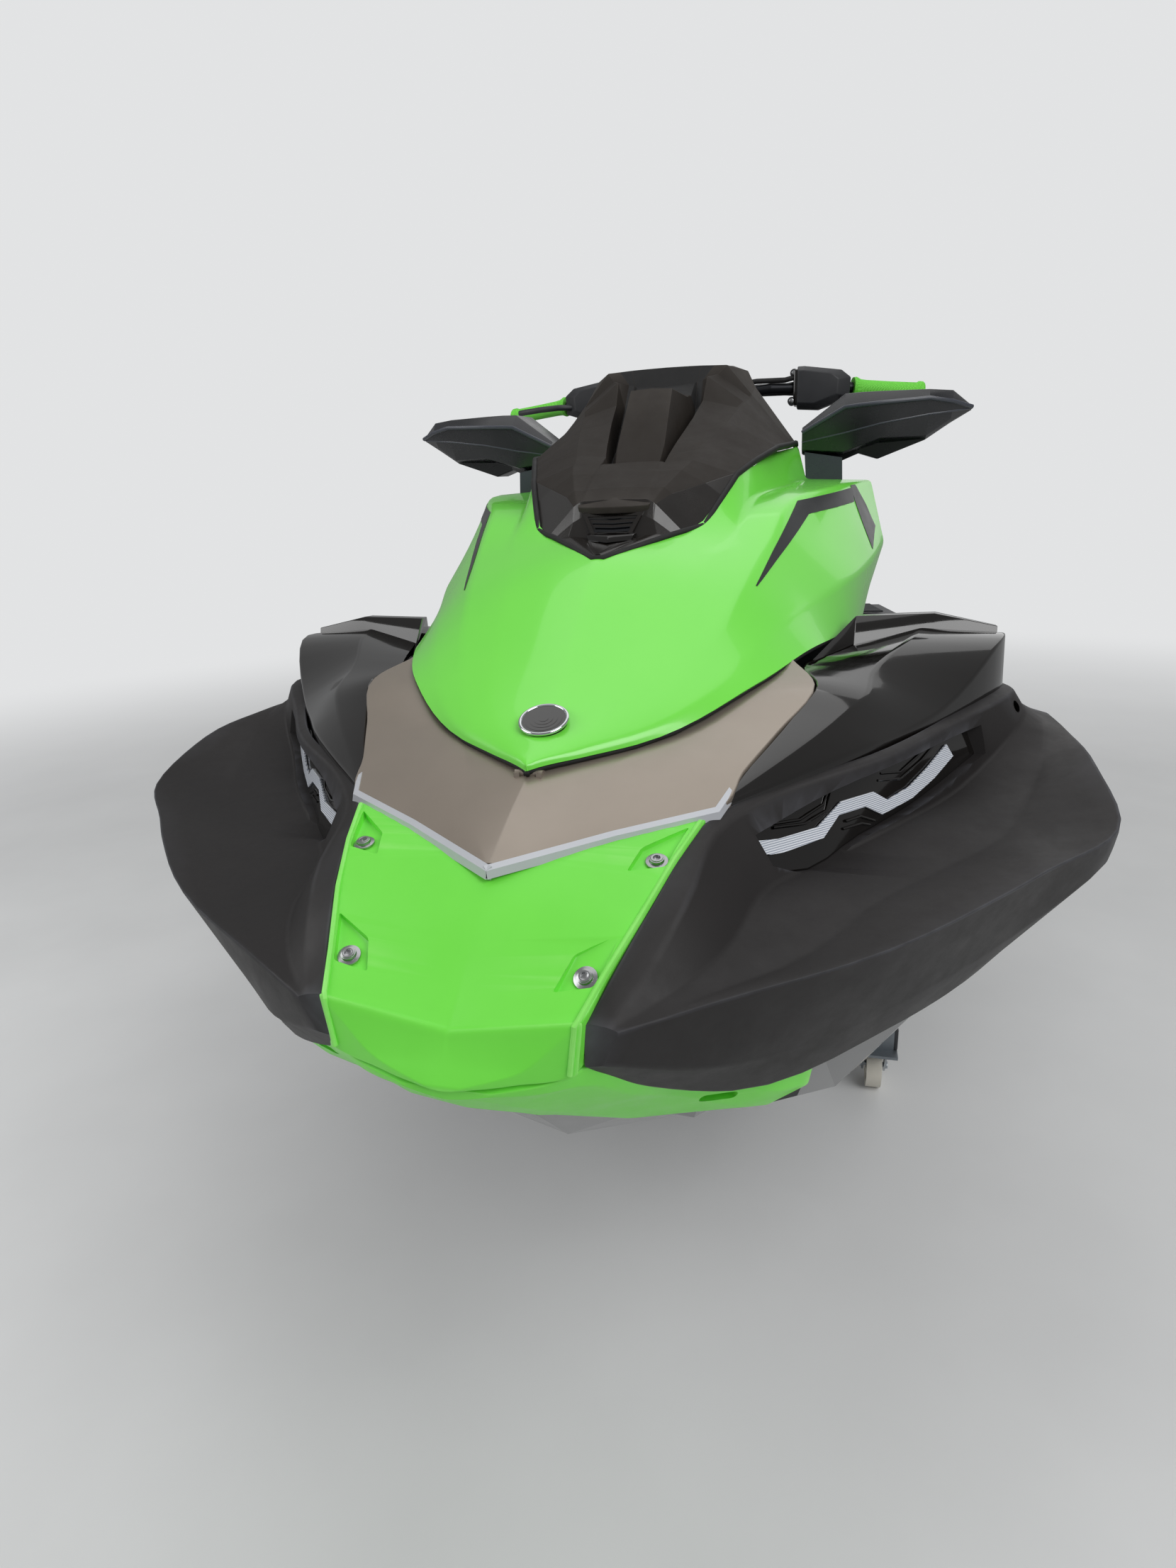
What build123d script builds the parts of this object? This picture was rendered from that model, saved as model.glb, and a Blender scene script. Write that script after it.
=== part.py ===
from build123d import *
import math
import os

os.makedirs("parts", exist_ok=True)

# Personal watercraft on a wheeled dolly. Millimetres, bow toward +X, port toward +Y,
# up +Z, floor at Z 0, the overall box centred on X and Y.

# Driving dimensions of the craft
LENGTH = 3580.0
BEAM = 1195.0
KEEL_Z = 262.0
GAP = 0.3
BOW, STERN = LENGTH / 2, -LENGTH / 2
STEP_REACH = 55.0
TRANSOM = STERN + STEP_REACH
# Sections are drawn for the base length and beam, and follow the two sizes above
WIDE = BEAM / 1195


def station(x):
    """X of the section drawn at x on the base length, from transom to bow."""
    return BOW + (x - 1790) * (BOW - TRANSOM) / 3525


# Engine bay, storage bin and glove box
BAY_FRONT, BAY_REAR, BAY_HALF, BAY_FLOOR = station(330), station(-560), 235.0 * WIDE, 372.0
BIN_FRONT, BIN_REAR, BIN_HALF = station(1215), station(745), 190.0 * WIDE
BIN_FLOOR, BIN_TOP, BIN_WALL = 640.0, 1018.0, 5.0
BOX_X, BOX_LENGTH, BOX_WIDTH, BOX_FLOOR = station(125), 150.0, 190.0, 960.0

# Jet drive
JET_Z = 400.0
TUNNEL_HALF, TUNNEL_TOP, TUNNEL_FRONT = 128.0, 515.0, station(-1150)
WELL_HALF, WELL_TOP = 168.0, 540.0
PUMP_R, PUMP_BORE, IMPELLER_R, SHAFT_R = 92.0, 80.0, 75.0, 12.0
NOZZLE_X, NOZZLE_PIN, BUCKET_PIN = TRANSOM + 135, 5.0, 6.0

# Hood hinge and steering column
HINGE_X, HINGE_Z, HINGE_PIN = station(1516), 1006.0, 4.0
STEER = (station(235), 0.0, 1395.0)
STEER_TILT, COLUMN_R = 30.0, 20.0
LID_X, LID_Z = BOX_X + 84, 1226.0
BAR_R, GRIP_R = 11.0, 17.0

# Dolly
WHEEL_R, WHEEL_WIDTH, AXLE_R = 50.0, 32.0, 6.0
CASTER_TOP, FORK_TRAIL, TUBE, KING_PIN = 128.0, 35.0, 50.0, 8.0
FRONT_X, REAR_X, SWIVEL_Y, RAIL_Y = station(574), station(-800), 430.0, 230.0
SWIVELS = [("front_left", FRONT_X, SWIVEL_Y), ("front_right", FRONT_X, -SWIVEL_Y),
           ("rear_left", REAR_X, SWIVEL_Y), ("rear_right", REAR_X, -SWIVEL_Y)]


def both(points):
    """Right half of a section carried on round its mirrored left half."""
    mirrored = [(-y, z) for y, z in reversed(points) if y > 0]
    return points + mirrored


def panelled(rings, halves=True):
    """Solid of flat panels between rings of corners. With halves, the right and left halves
    of each ring split their panels the same way, so the solid stays symmetrical."""
    faces = [Face(Wire.make_polygon(rings[0])), Face(Wire.make_polygon(rings[-1]))]
    for near, far in zip(rings, rings[1:]):
        for i in range(len(near)):
            a, b, c, d = near[i - 1], near[i], far[i], far[i - 1]
            right = not halves or 1 <= i <= len(near) // 2
            faces += [Face(Wire.make_polygon(corners))
                      for corners in (([a, b, c], [a, c, d]) if right else ([a, b, d], [b, c, d]))]
    return Solid(Shell(faces))


def across(rows):
    """Panelled solid from symmetrical sections along X: rows of X and half outline."""
    return panelled([[Vector(station(x), y * WIDE, z) for y, z in both(points)] for x, points in rows])


def beside(rows, sign):
    """Panelled solid from sections along X on one side only."""
    return panelled([[Vector(station(x), sign * y * WIDE, z) for y, z in points] for x, points in rows],
                    halves=False)


# Hull: X, keel height, chine half width, chine height, top half width, top height
HULL = [(-1735, 268, 480, 467, 515, 725), (-1200, KEEL_Z, 500, 469, 550, 745),
        (-500, KEEL_Z, 500, 469, 575, 780), (300, 263, 490, 468, 580, 815),
        (800, 288, 460, 488, 570, 835), (1100, 335, 415, 522, 545, 832),
        (1300, 405, 360, 566, 495, 800), (1450, 510, 320, 628, 425, 770),
        (1560, 622, 280, 690, 300, 750)]


def hull_outline(zk, yc, zc, yt, zt):
    """Half section from keel over one lifting strake and the chine to the bond line."""
    yb, zb = yc - 30, zc - 14
    return [(0, zk), (0.48 * yb, zk + 0.48 * (zb - zk)), (0.55 * yb, zk + 0.485 * (zb - zk)),
            (0.56 * yb, zk + 0.56 * (zb - zk)), (yb, zb), (yc, zc), (yt, zt), (0, zt)]


# Intake duct's side outline: X ahead of the pump, Z
DUCT = [(-10, 330), (-10, 470), (110, 450), (390, 255), (390, 240), (70, 240), (50, 300)]
# Footwell: X, inner half width, outer half width, floor height
FOOTWELL = [(-1235, 258, 470, 760), (-1180, 258, 500, 700), (-400, 258, 520, 690),
            (420, 258, 520, 700), (560, 300, 515, 800)]


def footwells():
    for sign in (1, -1):
        add(beside([(x, [(yi, zf), (yf, zf), (yf + 14, 1200), (yi, 1200)])
                    for x, yi, yf, zf in FOOTWELL], sign), mode=Mode.SUBTRACT)


with BuildPart() as hull:
    add(across([(x, hull_outline(*sizes)) for x, *sizes in HULL]))
    footwells()
    with Locations(Location(((TUNNEL_FRONT + BAY_REAR) / 2, 0, JET_Z), (0, 90, 0))):
        Cylinder(18, BAY_REAR - TUNNEL_FRONT + 20, mode=Mode.SUBTRACT)
    # jet tunnel, the wider well round nozzle and bucket, intake duct, then engine bay
    for half, top, start, end in ((TUNNEL_HALF, TUNNEL_TOP, STERN, TUNNEL_FRONT),
                                  (WELL_HALF, WELL_TOP, STERN, NOZZLE_X + 12)):
        with BuildSketch(Plane.XZ):
            with BuildLine():
                Polyline((start, 200), (start, top), (end - 15, top), (end, top - 15), (end, 200), close=True)
            make_face()
        extrude(amount=half, both=True, mode=Mode.SUBTRACT)
    with BuildSketch(Plane.XZ):
        with BuildLine():
            Polyline(*((TUNNEL_FRONT + dx, z) for dx, z in DUCT), close=True)
        make_face()
    extrude(amount=72, both=True, mode=Mode.SUBTRACT)
    with BuildSketch(Plane.XY.offset(BAY_FLOOR)):
        with Locations(((BAY_FRONT + BAY_REAR) / 2, 0)):
            Rectangle(BAY_FRONT - BAY_REAR, 2 * BAY_HALF)
    extrude(amount=600, mode=Mode.SUBTRACT)
    with BuildSketch(Plane.XY.offset(BIN_FLOOR - 5)):
        with Locations(((BIN_FRONT + BIN_REAR) / 2, 0)):
            Rectangle(BIN_FRONT - BIN_REAR, 2 * BIN_HALF)
    extrude(amount=600, mode=Mode.SUBTRACT)

# Deck: X, bottom height, outer half width, gunwale height
DECK = [(-1750, 725, 530, 800), (-1200, 745, 565, 830), (-500, 780, 590, 885),
        (300, 815, 597.5, 930), (800, 835, 597.5, 950), (1000, 836, 597.5, 962)]
deck_rows = [(x, [(0, zb), (yo - 18, zb), (yo, zb + 26), (yo, zg - 22), (yo - 26, zg), (0, zg)])
             for x, zb, yo, zg in DECK]
# fore deck under the covers: X, bottom height, half width, top height
FORE = [(1000, 836, 540, 940), (1300, 800, 470, 890), (1450, 770, 400, 880),
        (1560, 750, 190, 870), (1640, 750, 120, 850)]
fore_rows = [(x, [(0, zb), (yo, zb), (yo, zg), (0, zg)]) for x, zb, yo, zg in FORE]

with BuildPart() as deck:
    add(across(deck_rows))
    add(across(fore_rows))
    footwells()
    # seat pedestal and its rear deck step
    add(across([(x, [(0, 700), (yb, 700), (yt, 985), (0, 985)])
                for x, yb, yt in ((-1250, 235, 200), (-560, 257, 185), (330, 257, 190))]))
    # coaming round the storage bin
    with BuildSketch(Plane.XY.offset(900)):
        with Locations(((BIN_FRONT + BIN_REAR) / 2, 0)):
            Rectangle(BIN_FRONT - BIN_REAR + 40, 2 * BIN_HALF + 40)
    extrude(amount=BIN_TOP - BIN_WALL - 900)
    with BuildSketch(Plane.XY.offset(BIN_FLOOR - 5)):
        with Locations(((BIN_FRONT + BIN_REAR) / 2, 0)):
            Rectangle(BIN_FRONT - BIN_REAR, 2 * BIN_HALF)
    extrude(amount=600, mode=Mode.SUBTRACT)
    with BuildSketch(Plane.XY.offset(BAY_FLOOR)):
        with Locations(((BAY_FRONT + BAY_REAR) / 2, 0)):
            Rectangle(BAY_FRONT - BAY_REAR, 2 * (BAY_HALF - 65))
    extrude(amount=700, mode=Mode.SUBTRACT)
    add(hull.part, mode=Mode.SUBTRACT)

with BuildPart() as engine:
    for height, length, width, tall in ((0, 640, 330, 400), (400, 560, 180, 70)):
        with BuildSketch(Plane.XY.offset(BAY_FLOOR + height)):
            with Locations(((BAY_FRONT + BAY_REAR) / 2 + 15, 0)):
                Rectangle(length, width)
        extrude(amount=tall)

with BuildPart() as storage_bin:
    with BuildSketch(Plane.XY.offset(BIN_FLOOR)):
        with Locations(((BIN_FRONT + BIN_REAR) / 2, 0)):
            Rectangle(BIN_FRONT - BIN_REAR, 2 * BIN_HALF)
    extrude(amount=BIN_TOP - BIN_WALL - BIN_FLOOR)
    with BuildSketch(Plane.XY.offset(BIN_TOP - BIN_WALL)):
        with Locations(((BIN_FRONT + BIN_REAR) / 2, 0)):
            Rectangle(BIN_FRONT - BIN_REAR + 40, 2 * BIN_HALF + 40)
    extrude(amount=BIN_WALL)
    with BuildSketch(Plane.XY.offset(BIN_FLOOR + BIN_WALL)):
        with Locations(((BIN_FRONT + BIN_REAR) / 2, 0)):
            Rectangle(BIN_FRONT - BIN_REAR - 2 * BIN_WALL, 2 * (BIN_HALF - BIN_WALL))
    extrude(amount=600, mode=Mode.SUBTRACT)

# Lower nose with a tow slot through each cheek
CAP = [(1560, [(0, 622), (130, 648), (250, 674), (290, 705), (300, 750), (0, 750)]),
       (1600, [(0, 655), (120, 668), (225, 698), (262, 722), (275, 770), (0, 770)]),
       (1650, [(0, 695), (95, 706), (178, 740), (200, 760), (222, 805), (0, 805)]),
       (1700, [(0, 735), (68, 743), (140, 772), (155, 785), (172, 826), (0, 826)]),
       (1745, [(0, 772), (48, 779), (108, 808), (114, 818), (120, 832), (0, 832)]),
       (1768, [(0, 792), (30, 798), (70, 812), (76, 820), (82, 829), (0, 829)]),
       (1780, [(0, 808), (15, 810), (40, 816), (44, 820), (48, 826), (0, 826)])]
with BuildPart() as bow_cap:
    add(across(CAP))
    add(hull.part, mode=Mode.SUBTRACT)
    add(deck.part, mode=Mode.SUBTRACT)
    for sign in (1, -1):
        with Locations(Location((station(1630), sign * 207 * WIDE, 745), (0, 0, sign * -52))):
            Box(36, 60, 13, mode=Mode.SUBTRACT)

# Upper nose bumper: X, centre height, edge half width, edge height, foot half width, foot height
BUMPER = [(1500, 966, 192, 976, 180, 850), (1545, 968, 183, 973, 172, 835), (1604, 962, 167, 957, 158, 835),
          (1661, 935, 150, 932, 142, 836), (1720, 888, 128, 900, 120, 837), (1759, 857, 114, 877, 110, 837),
          (1776, 845, 75, 852, 70, 829), (1790, 828, 20, 831, 16, 822)]
SCREWS = [(1604, 148, 959), (1724, 109, 906)]
with BuildPart() as nose_bumper:
    add(across([(x, [(0, zf - 5), (yf, zf), (ye, ze), (0, zc)]) for x, zc, ye, ze, yf, zf in BUMPER]))
    # screw pockets open to the outer edge
    for x, y, z in SCREWS:
        for sign in (1, -1):
            with Locations(Location((station(x), sign * (y + 14) * WIDE, z + 4), (0, 24, 0))):
                Box(34, 52, 16, mode=Mode.SUBTRACT)
    add(bow_cap.part, mode=Mode.SUBTRACT)
    add(deck.part, mode=Mode.SUBTRACT)

# Silver deck panel
PANEL = [(1240, [(0, 955), (245, 955), (251, 1078), (200, 1068), (0, 1055)]),
         (1305, [(0, 955), (276, 955), (279, 1061), (207, 1058), (0, 1048)]),
         (1400, [(0, 950), (240, 950), (243, 1027), (131, 1027), (0, 1028)]),
         (1470, [(0, 940), (212, 940), (214, 1003), (90, 1014), (0, 1018)]),
         (1527, [(0, 930), (191, 930), (193, 981), (60, 998), (0, 1003)]),
         (1580, [(0, 930), (100, 930), (103, 971), (40, 981), (0, 984)]),
         (1641, [(0, 930), (8, 930), (9, 957), (4, 958), (0, 958)])]
with BuildPart() as deck_panel:
    add(across(PANEL))
    add(nose_bumper.part, mode=Mode.SUBTRACT)
    add(deck.part, mode=Mode.SUBTRACT)

# Fender half section: rail inner, rail outer, light foot, mid face, crease, lower crease, foot
FENDER = [(1752, [(116, 874), (134, 872), (138, 870.5), (141, 869.5), (144, 868), (131, 836), (116, 833)]),
          (1708, [(133, 905), (158, 897), (178, 880), (198, 879), (222, 881), (200, 812), (150, 790)]),
          (1650, [(153, 937), (180, 932), (212, 888), (265, 884), (322, 893), (262, 795), (225, 752)]),
          (1528, [(190, 975), (207, 970), (247, 903), (350, 898), (457, 910), (405, 812), (365, 757)]),
          (1469, [(235, 985), (252, 981), (287, 903), (400, 902), (508, 915), (465, 825), (425, 768)]),
          (1367, [(340, 997), (357, 993), (372, 915), (480, 908), (594, 924), (586, 885), (495, 782)]),
          (1250, [(420, 1007), (438, 1003), (452, 925), (532, 934), (597, 960), (597, 892), (540, 808)]),
          (1100, [(495, 1018), (528, 1015), (545, 985), (570, 970), (597, 965), (597, 890), (550, 832)]),
          (1002, [(495, 1012), (527, 1008), (545, 985), (570, 970), (597, 962), (597, 862), (579, 838)])]
fender_rows = [(x, [(points[0][0] - 2, points[6][1]), *reversed(points)]) for x, points in FENDER]
# Light pocket: X, then top and foot of the sloping face it lies in
POCKET = [(1490, (230, 952), (268, 903)), (1400, (318, 975), (342, 915)),
          (1300, (398, 985), (412, 928)), (1200, (468, 990), (482, 955))]


def pocket_rows(rows, front, back):
    """The pocket's four corners, from front to back along its own sloping depth."""
    return [(x, [(ty + front, tz + front * 0.13), (by + front, bz + front * 0.13),
                 (by - back, bz - back * 0.13), (ty - back, tz - back * 0.13)])
            for x, (ty, tz), (by, bz) in rows]


with BuildPart() as fenders:
    for sign in (1, -1):
        add(beside(fender_rows, sign))
        add(beside(pocket_rows(POCKET, 40, 22), sign), mode=Mode.SUBTRACT)
    for neighbour in (hull, deck, bow_cap, nose_bumper, deck_panel):
        add(neighbour.part, mode=Mode.SUBTRACT)

with BuildPart() as bow_lights:
    for sign in (1, -1):
        add(beside(pocket_rows(POCKET, -8, 22), sign))

# Shoulder half section: inner top, middle, outer top, outer foot
SHOULDER = [(1515, [(192, 984), (194, 984), (198, 982), (198, 940)]),
            (1367, [(258, 1038), (300, 1030), (338, 1006), (340, 940)]),
            (1305, [(281, 1060), (335, 1046), (382, 1008), (385, 940)]),
            (1240, [(262, 1068), (345, 1062), (428, 1020), (430, 940)]),
            (1100, [(305, 1066), (400, 1086), (508, 1080), (515, 940)]),
            (950, [(335, 1060), (430, 1084), (528, 1064), (530, 940)]),
            (760, [(350, 1050), (420, 1052), (505, 1012), (508, 940)]),
            (585, [(356, 1044), (405, 1034), (482, 985), (490, 925)]),
            (470, [(322, 1000), (370, 990), (440, 950), (455, 920)])]
shoulder_rows = [(x, [(points[0][0], points[3][1]), *reversed(points)]) for x, points in SHOULDER]
with BuildPart() as shoulders:
    for sign in (1, -1):
        add(beside(shoulder_rows, sign))
        # air intake beside the hood
        add(beside([(x, [(yi, 1120), (yi, zi), (yo, zi), (yo, 1120)])
                    for x, yi, yo, zi in ((1228, 268, 274, 1066), (930, 340, 378, 1048))], sign),
            mode=Mode.SUBTRACT)
    for neighbour in (deck, deck_panel, fenders, nose_bumper, bow_lights):
        add(neighbour.part, mode=Mode.SUBTRACT)

# Hood half section: lip, side, ridge, valley, peak, centre
HOOD = [(1522, [(5, 1012), (4.6, 1015), (3.8, 1017), (2.6, 1018), (1.2, 1018.6), (0, 1018.8)]),
        (1450, [(100, 1022), (97, 1030), (80, 1038), (60, 1043), (30, 1046), (0, 1049)]),
        (1320, [(213, 1062), (186, 1077), (147, 1094), (100, 1107), (50, 1117), (0, 1124)]),
        (1203, [(266, 1081), (232, 1112), (182, 1150), (120, 1172), (60, 1187), (0, 1198)]),
        (1073, [(302, 1080), (277, 1132), (211, 1205), (160, 1218), (117, 1233), (0, 1246)]),
        (971, [(325, 1078), (312, 1145), (228, 1252), (172, 1256), (153, 1298), (0, 1305)]),
        (780, [(346, 1068), (356, 1160), (300, 1280), (215, 1282), (190, 1332), (0, 1340)]),
        (585, [(352, 1058), (384, 1180), (355, 1288), (242, 1294), (226, 1352), (0, 1360)])]
hood_rows = [(x, [(0, points[0][1]), *points]) for x, points in HOOD]
hood_inner = [(x - 2 if x > 600 else 560,
               [(0, lz - 60), (ly - 24, lz - 60), (sy - 26, sz - 4), (ry - 18, rz - 24),
                (vy - 6, vz - 26), (py - 10, pz - 28), (0, cz - 28)])
              for x, ((ly, lz), (sy, sz), (ry, rz), (vy, vz), (py, pz), (_, cz)) in HOOD[2:]]
with BuildPart() as hood:
    add(across(hood_rows))
    add(across(hood_inner), mode=Mode.SUBTRACT)
    with Locations((HINGE_X, 0, HINGE_Z + 4)):
        Box(14, 16, 9)
    with Locations(Location((HINGE_X, 0, HINGE_Z), (90, 0, 0))):
        Cylinder(HINGE_PIN + GAP, 80, mode=Mode.SUBTRACT)

# Hinge pin carried by the silver panel, in a groove under the hood's tip
with BuildPart(mode=Mode.PRIVATE) as hinge_room:
    with Locations(Location((HINGE_X, 0, HINGE_Z), (90, 0, 0))):
        Cylinder(11, 30)
with BuildPart(mode=Mode.PRIVATE) as hood_room:
    add(across([(x, [(0, lip[0][1] - 4), (lip[0][0] + 4, lip[0][1] - 4), (lip[0][0] + 4, 1300), (0, 1300)])
                for x, lip in HOOD]))
deck_panel.part = deck_panel.part - hood_room.part - hinge_room.part
shoulders.part = shoulders.part - hood_room.part
with BuildPart() as hood_hinge:
    with Locations(Location((HINGE_X, 0, HINGE_Z), (90, 0, 0))):
        Cylinder(HINGE_PIN, 30)
    for sign in (1, -1):
        with Locations((HINGE_X, sign * 12, HINGE_Z - 10)):
            Box(12, 6, 24)
deck_panel.part = deck_panel.part - hood_hinge.part

# Cowl half section: hood edge, side crease, wing top, slot outer foot, slot inner foot, pod edge, centre
COWL = [(1196, [(5, 1199), (4.5, 1202), (4, 1203), (3.4, 1204), (2.6, 1205), (1.6, 1205.5), (0, 1206)]),
        (1112, [(77, 1221), (60, 1224), (44, 1223), (38, 1222), (34, 1221), (20, 1220), (0, 1219)]),
        (1104, [(84, 1223), (54, 1244), (47, 1248), (44, 1249), (34, 1250), (18, 1252), (0, 1252)]),
        (1094, [(95, 1226), (54, 1266), (48, 1269), (44, 1270), (34, 1270), (18, 1271), (0, 1271)]),
        (1064, [(119, 1232), (64, 1280), (50, 1284), (44, 1286), (38, 1286), (20, 1287), (0, 1287)]),
        (968, [(154, 1299), (90, 1317), (50, 1320), (45, 1322), (40, 1322), (34, 1322), (0, 1323)]),
        (928, [(165, 1310), (95, 1333), (49, 1334), (47, 1318), (40, 1318), (34, 1324), (0, 1323)]),
        (898, [(174, 1319), (102, 1345), (54, 1350), (51, 1318), (43, 1319), (37, 1351), (0, 1354)]),
        (804, [(202, 1341), (121, 1378), (67, 1392), (62, 1345), (48, 1350), (34, 1438), (0, 1440)]),
        (735, [(210, 1346), (132, 1404), (74, 1424), (68, 1385), (58, 1390), (48, 1431), (0, 1439)]),
        (668, [(217, 1351), (146, 1425), (92, 1470), (64, 1462), (56, 1460), (50, 1458), (0, 1456)]),
        (656, [(218, 1352), (148, 1430), (105, 1485), (82, 1486), (62, 1487), (42, 1487.5), (0, 1488)]),
        (597, [(222, 1356), (150, 1452), (136, 1480), (110, 1490), (72, 1493), (42, 1494), (0, 1495)]),
        (585, [(222, 1352), (148, 1446), (132, 1472), (108, 1481), (70, 1484), (40, 1485), (0, 1486)])]
COWL_ROOM = [(840, 140, 1290, 1312), (735, 150, 1290, 1365), (650, 150, 1290, 1410), (560, 150, 1290, 1425)]
# the cowl lies in an opening of the hood, on a ledge round its edge
with BuildPart(mode=Mode.PRIVATE) as cowl_seat:
    add(across([(x, [(0, points[0][1] - 25), (points[0][0], points[0][1] - 6), (points[0][0], 1600), (0, 1600)])
                for x, points in COWL]))
hood.part = hood.part - cowl_seat.part
with BuildPart() as cowl:
    add(across([(x, [(0, points[0][1] - 25), (points[0][0], points[0][1] - 6), *points])
                for x, points in COWL]))
    add(across([(x, [(0, low), (half, low), (half - 30, high - 12), (0, high)])
                for x, half, low, high in COWL_ROOM]), mode=Mode.SUBTRACT)

# Smoked lens, wider at its top, in the cowl's front face
with BuildPart() as cowl_lens:
    with BuildSketch(Plane(origin=(station(1103), 0, 1244), x_dir=(0, 1, 0), z_dir=(0.915, 0, 0.403))):
        with BuildLine():
            Polyline((-28, -17), (28, -17), (43, 18), (-43, 18), close=True)
        make_face()
    extrude(amount=5, both=True)
cowl.part = (cowl.part - cowl_lens.part).solids().sort_by(SortBy.VOLUME)[-1]
hood.part = hood.part - cowl_lens.part

with BuildPart() as badge:
    with BuildSketch(Plane(origin=(station(1457), 0, 1045), x_dir=(0, 1, 0), z_dir=(0.407, 0, 0.914))):
        RegularPolygon(27, 48)
    extrude(amount=5, both=True)
hood.part = hood.part - badge.part

# Mirror sections along Y: rear foot, front foot, nose, front top, rear top, each as X and Z
MIRROR = [(233, [(500, 1310), (590, 1307), (605, 1340), (590, 1378), (520, 1382)]),
          (291, [(490, 1335), (585, 1331), (612, 1362), (590, 1396), (500, 1399)]),
          (328, [(480, 1347), (575, 1344), (615, 1380), (585, 1428), (490, 1430)]),
          (378, [(478, 1335), (560, 1329), (612, 1385), (580, 1433), (485, 1436)]),
          (479, [(500, 1374), (548, 1372), (575, 1405), (560, 1440), (505, 1443)]),
          (527, [(525, 1402), (538, 1401), (546, 1406), (540, 1410), (527, 1411)])]
with BuildPart() as mirrors:
    for sign in (1, -1):
        add(panelled([[Vector(station(x), sign * y * WIDE, z) for x, z in points] for y, points in MIRROR],
                     halves=False))
    add(hood.part, mode=Mode.SUBTRACT)
    add(cowl.part, mode=Mode.SUBTRACT)

# Console half section: foot, knee, waist, edge, crown, centre
CONSOLE = [(578, [(335, 900), (345, 1180), (318, 1262), (300, 1292), (170, 1300), (0, 1318)]),
           (430, [(300, 900), (300, 1180), (262, 1255), (240, 1284), (150, 1296), (0, 1308)]),
           (250, [(240, 900), (220, 1160), (190, 1212), (160, 1238), (120, 1250), (0, 1252)]),
           (40, [(215, 900), (190, 1060), (165, 1095), (150, 1112), (120, 1130), (0, 1132)])]
with BuildPart() as console:
    add(across([(x, [(0, 900), *points]) for x, points in CONSOLE]))
    add(deck.part, mode=Mode.SUBTRACT)
    add(shoulders.part, mode=Mode.SUBTRACT)
    with BuildSketch(Plane.XY.offset(BOX_FLOOR)):
        with Locations((BOX_X, 0)):
            Rectangle(BOX_LENGTH, BOX_WIDTH)
    extrude(amount=400, mode=Mode.SUBTRACT)
    with BuildSketch(Plane.XZ):
        with BuildLine():
            Polyline((BOX_X + 95, 1400), (station(36), 1400), (station(36), 1122), (BOX_X - 73, 1122),
                     (BOX_X + 95, 1220), close=True)
        make_face()
    extrude(amount=105, both=True, mode=Mode.SUBTRACT)
    # column bearing, and the glove lid's hinge pin
    with Locations(Location(STEER, (0, -STEER_TILT, 0))):
        Cylinder(COLUMN_R + GAP, 420, mode=Mode.SUBTRACT)
    with Locations(Location((LID_X, 0, LID_Z), (90, 0, 0))):
        Cylinder(3, 222)

with BuildPart() as glove_lid:
    with BuildSketch(Plane.XZ):
        with BuildLine():
            Polyline((BOX_X + 89, 1219), (BOX_X + 89, 1232), (BOX_X - 69, 1139), (BOX_X - 69, 1126),
                     close=True)
        make_face()
    extrude(amount=100, both=True)
    with Locations(Location((LID_X, 0, LID_Z), (90, 0, 0))):
        Cylinder(7, 200)
        Cylinder(3 + GAP, 240, mode=Mode.SUBTRACT)

with BuildPart() as display:
    with Locations(Location((STEER[0] + 235, 0, 1352), (0, -28, 0))):
        Box(130, 150, 60)
    add(console.part, mode=Mode.SUBTRACT)

# Handlebar and its stem, turned about the column
BAR = [(111, 458, 1474), (156, 309, 1486), (186, 150, 1490), (192, 60, 1482)]
BAR_AFT = STEER[0] - 235
with BuildPart() as handlebar:
    with Locations(Location(STEER, (0, -STEER_TILT, 0))):
        with Locations((0, 0, -55)):
            Cylinder(COLUMN_R, 290)
        with Locations((0, 0, 92)):
            Box(64, 130, 44)
    with BuildLine() as bar_line:
        Polyline(*((x + BAR_AFT, -y, z) for x, y, z in BAR), *((x + BAR_AFT, y, z) for x, y, z in BAR[::-1]))
    with BuildSketch(Plane(origin=bar_line.line @ 0, z_dir=bar_line.line % 0)):
        Circle(BAR_R)
    sweep(path=bar_line.line, transition=Transition.RIGHT)

with BuildPart() as grips:
    for sign in (1, -1):
        with BuildLine() as grip_line:
            Line((BAR_AFT + 153, sign * 322, 1485), (BAR_AFT + 107, sign * 471, 1473))
        with BuildSketch(Plane(origin=grip_line.line @ 0, z_dir=grip_line.line % 0)):
            Circle(GRIP_R)
        sweep(path=grip_line.line)
    add(handlebar.part, mode=Mode.SUBTRACT)

with BuildPart() as controls:
    for sign in (1, -1):
        with BuildSketch(Plane.YZ.offset(BAR_AFT + 136)):
            with BuildLine():
                Polyline((sign * 202, 1450), (sign * 214, 1444), (sign * 300, 1455), (sign * 320, 1470),
                         (sign * 320, 1498), (sign * 244, 1528), (sign * 202, 1532), close=True)
            make_face()
        extrude(amount=66)
        with Locations(Location((BAR_AFT + 190, sign * 345, 1482), (0, 0, sign * 16))):
            Box(12, 140, 16)
    add(handlebar.part, mode=Mode.SUBTRACT)
    add(grips.part, mode=Mode.SUBTRACT)

with BuildPart() as seat_front:
    add(across([(x, [(0, 985), (yb, 985), (ym, zm), (yt, zt), (0, zt + 6)])
                for x, yb, ym, zm, yt, zt in (
                    (30, 110, 118, 1030, 70, 1080), (-60, 165, 175, 1040, 110, 1112),
                    (-350, 185, 200, 1040, 140, 1120), (-560, 185, 205, 1050, 150, 1160),
                    (-612, 185, 205, 1050, 150, 1180))]))
    add(console.part, mode=Mode.SUBTRACT)

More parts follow.
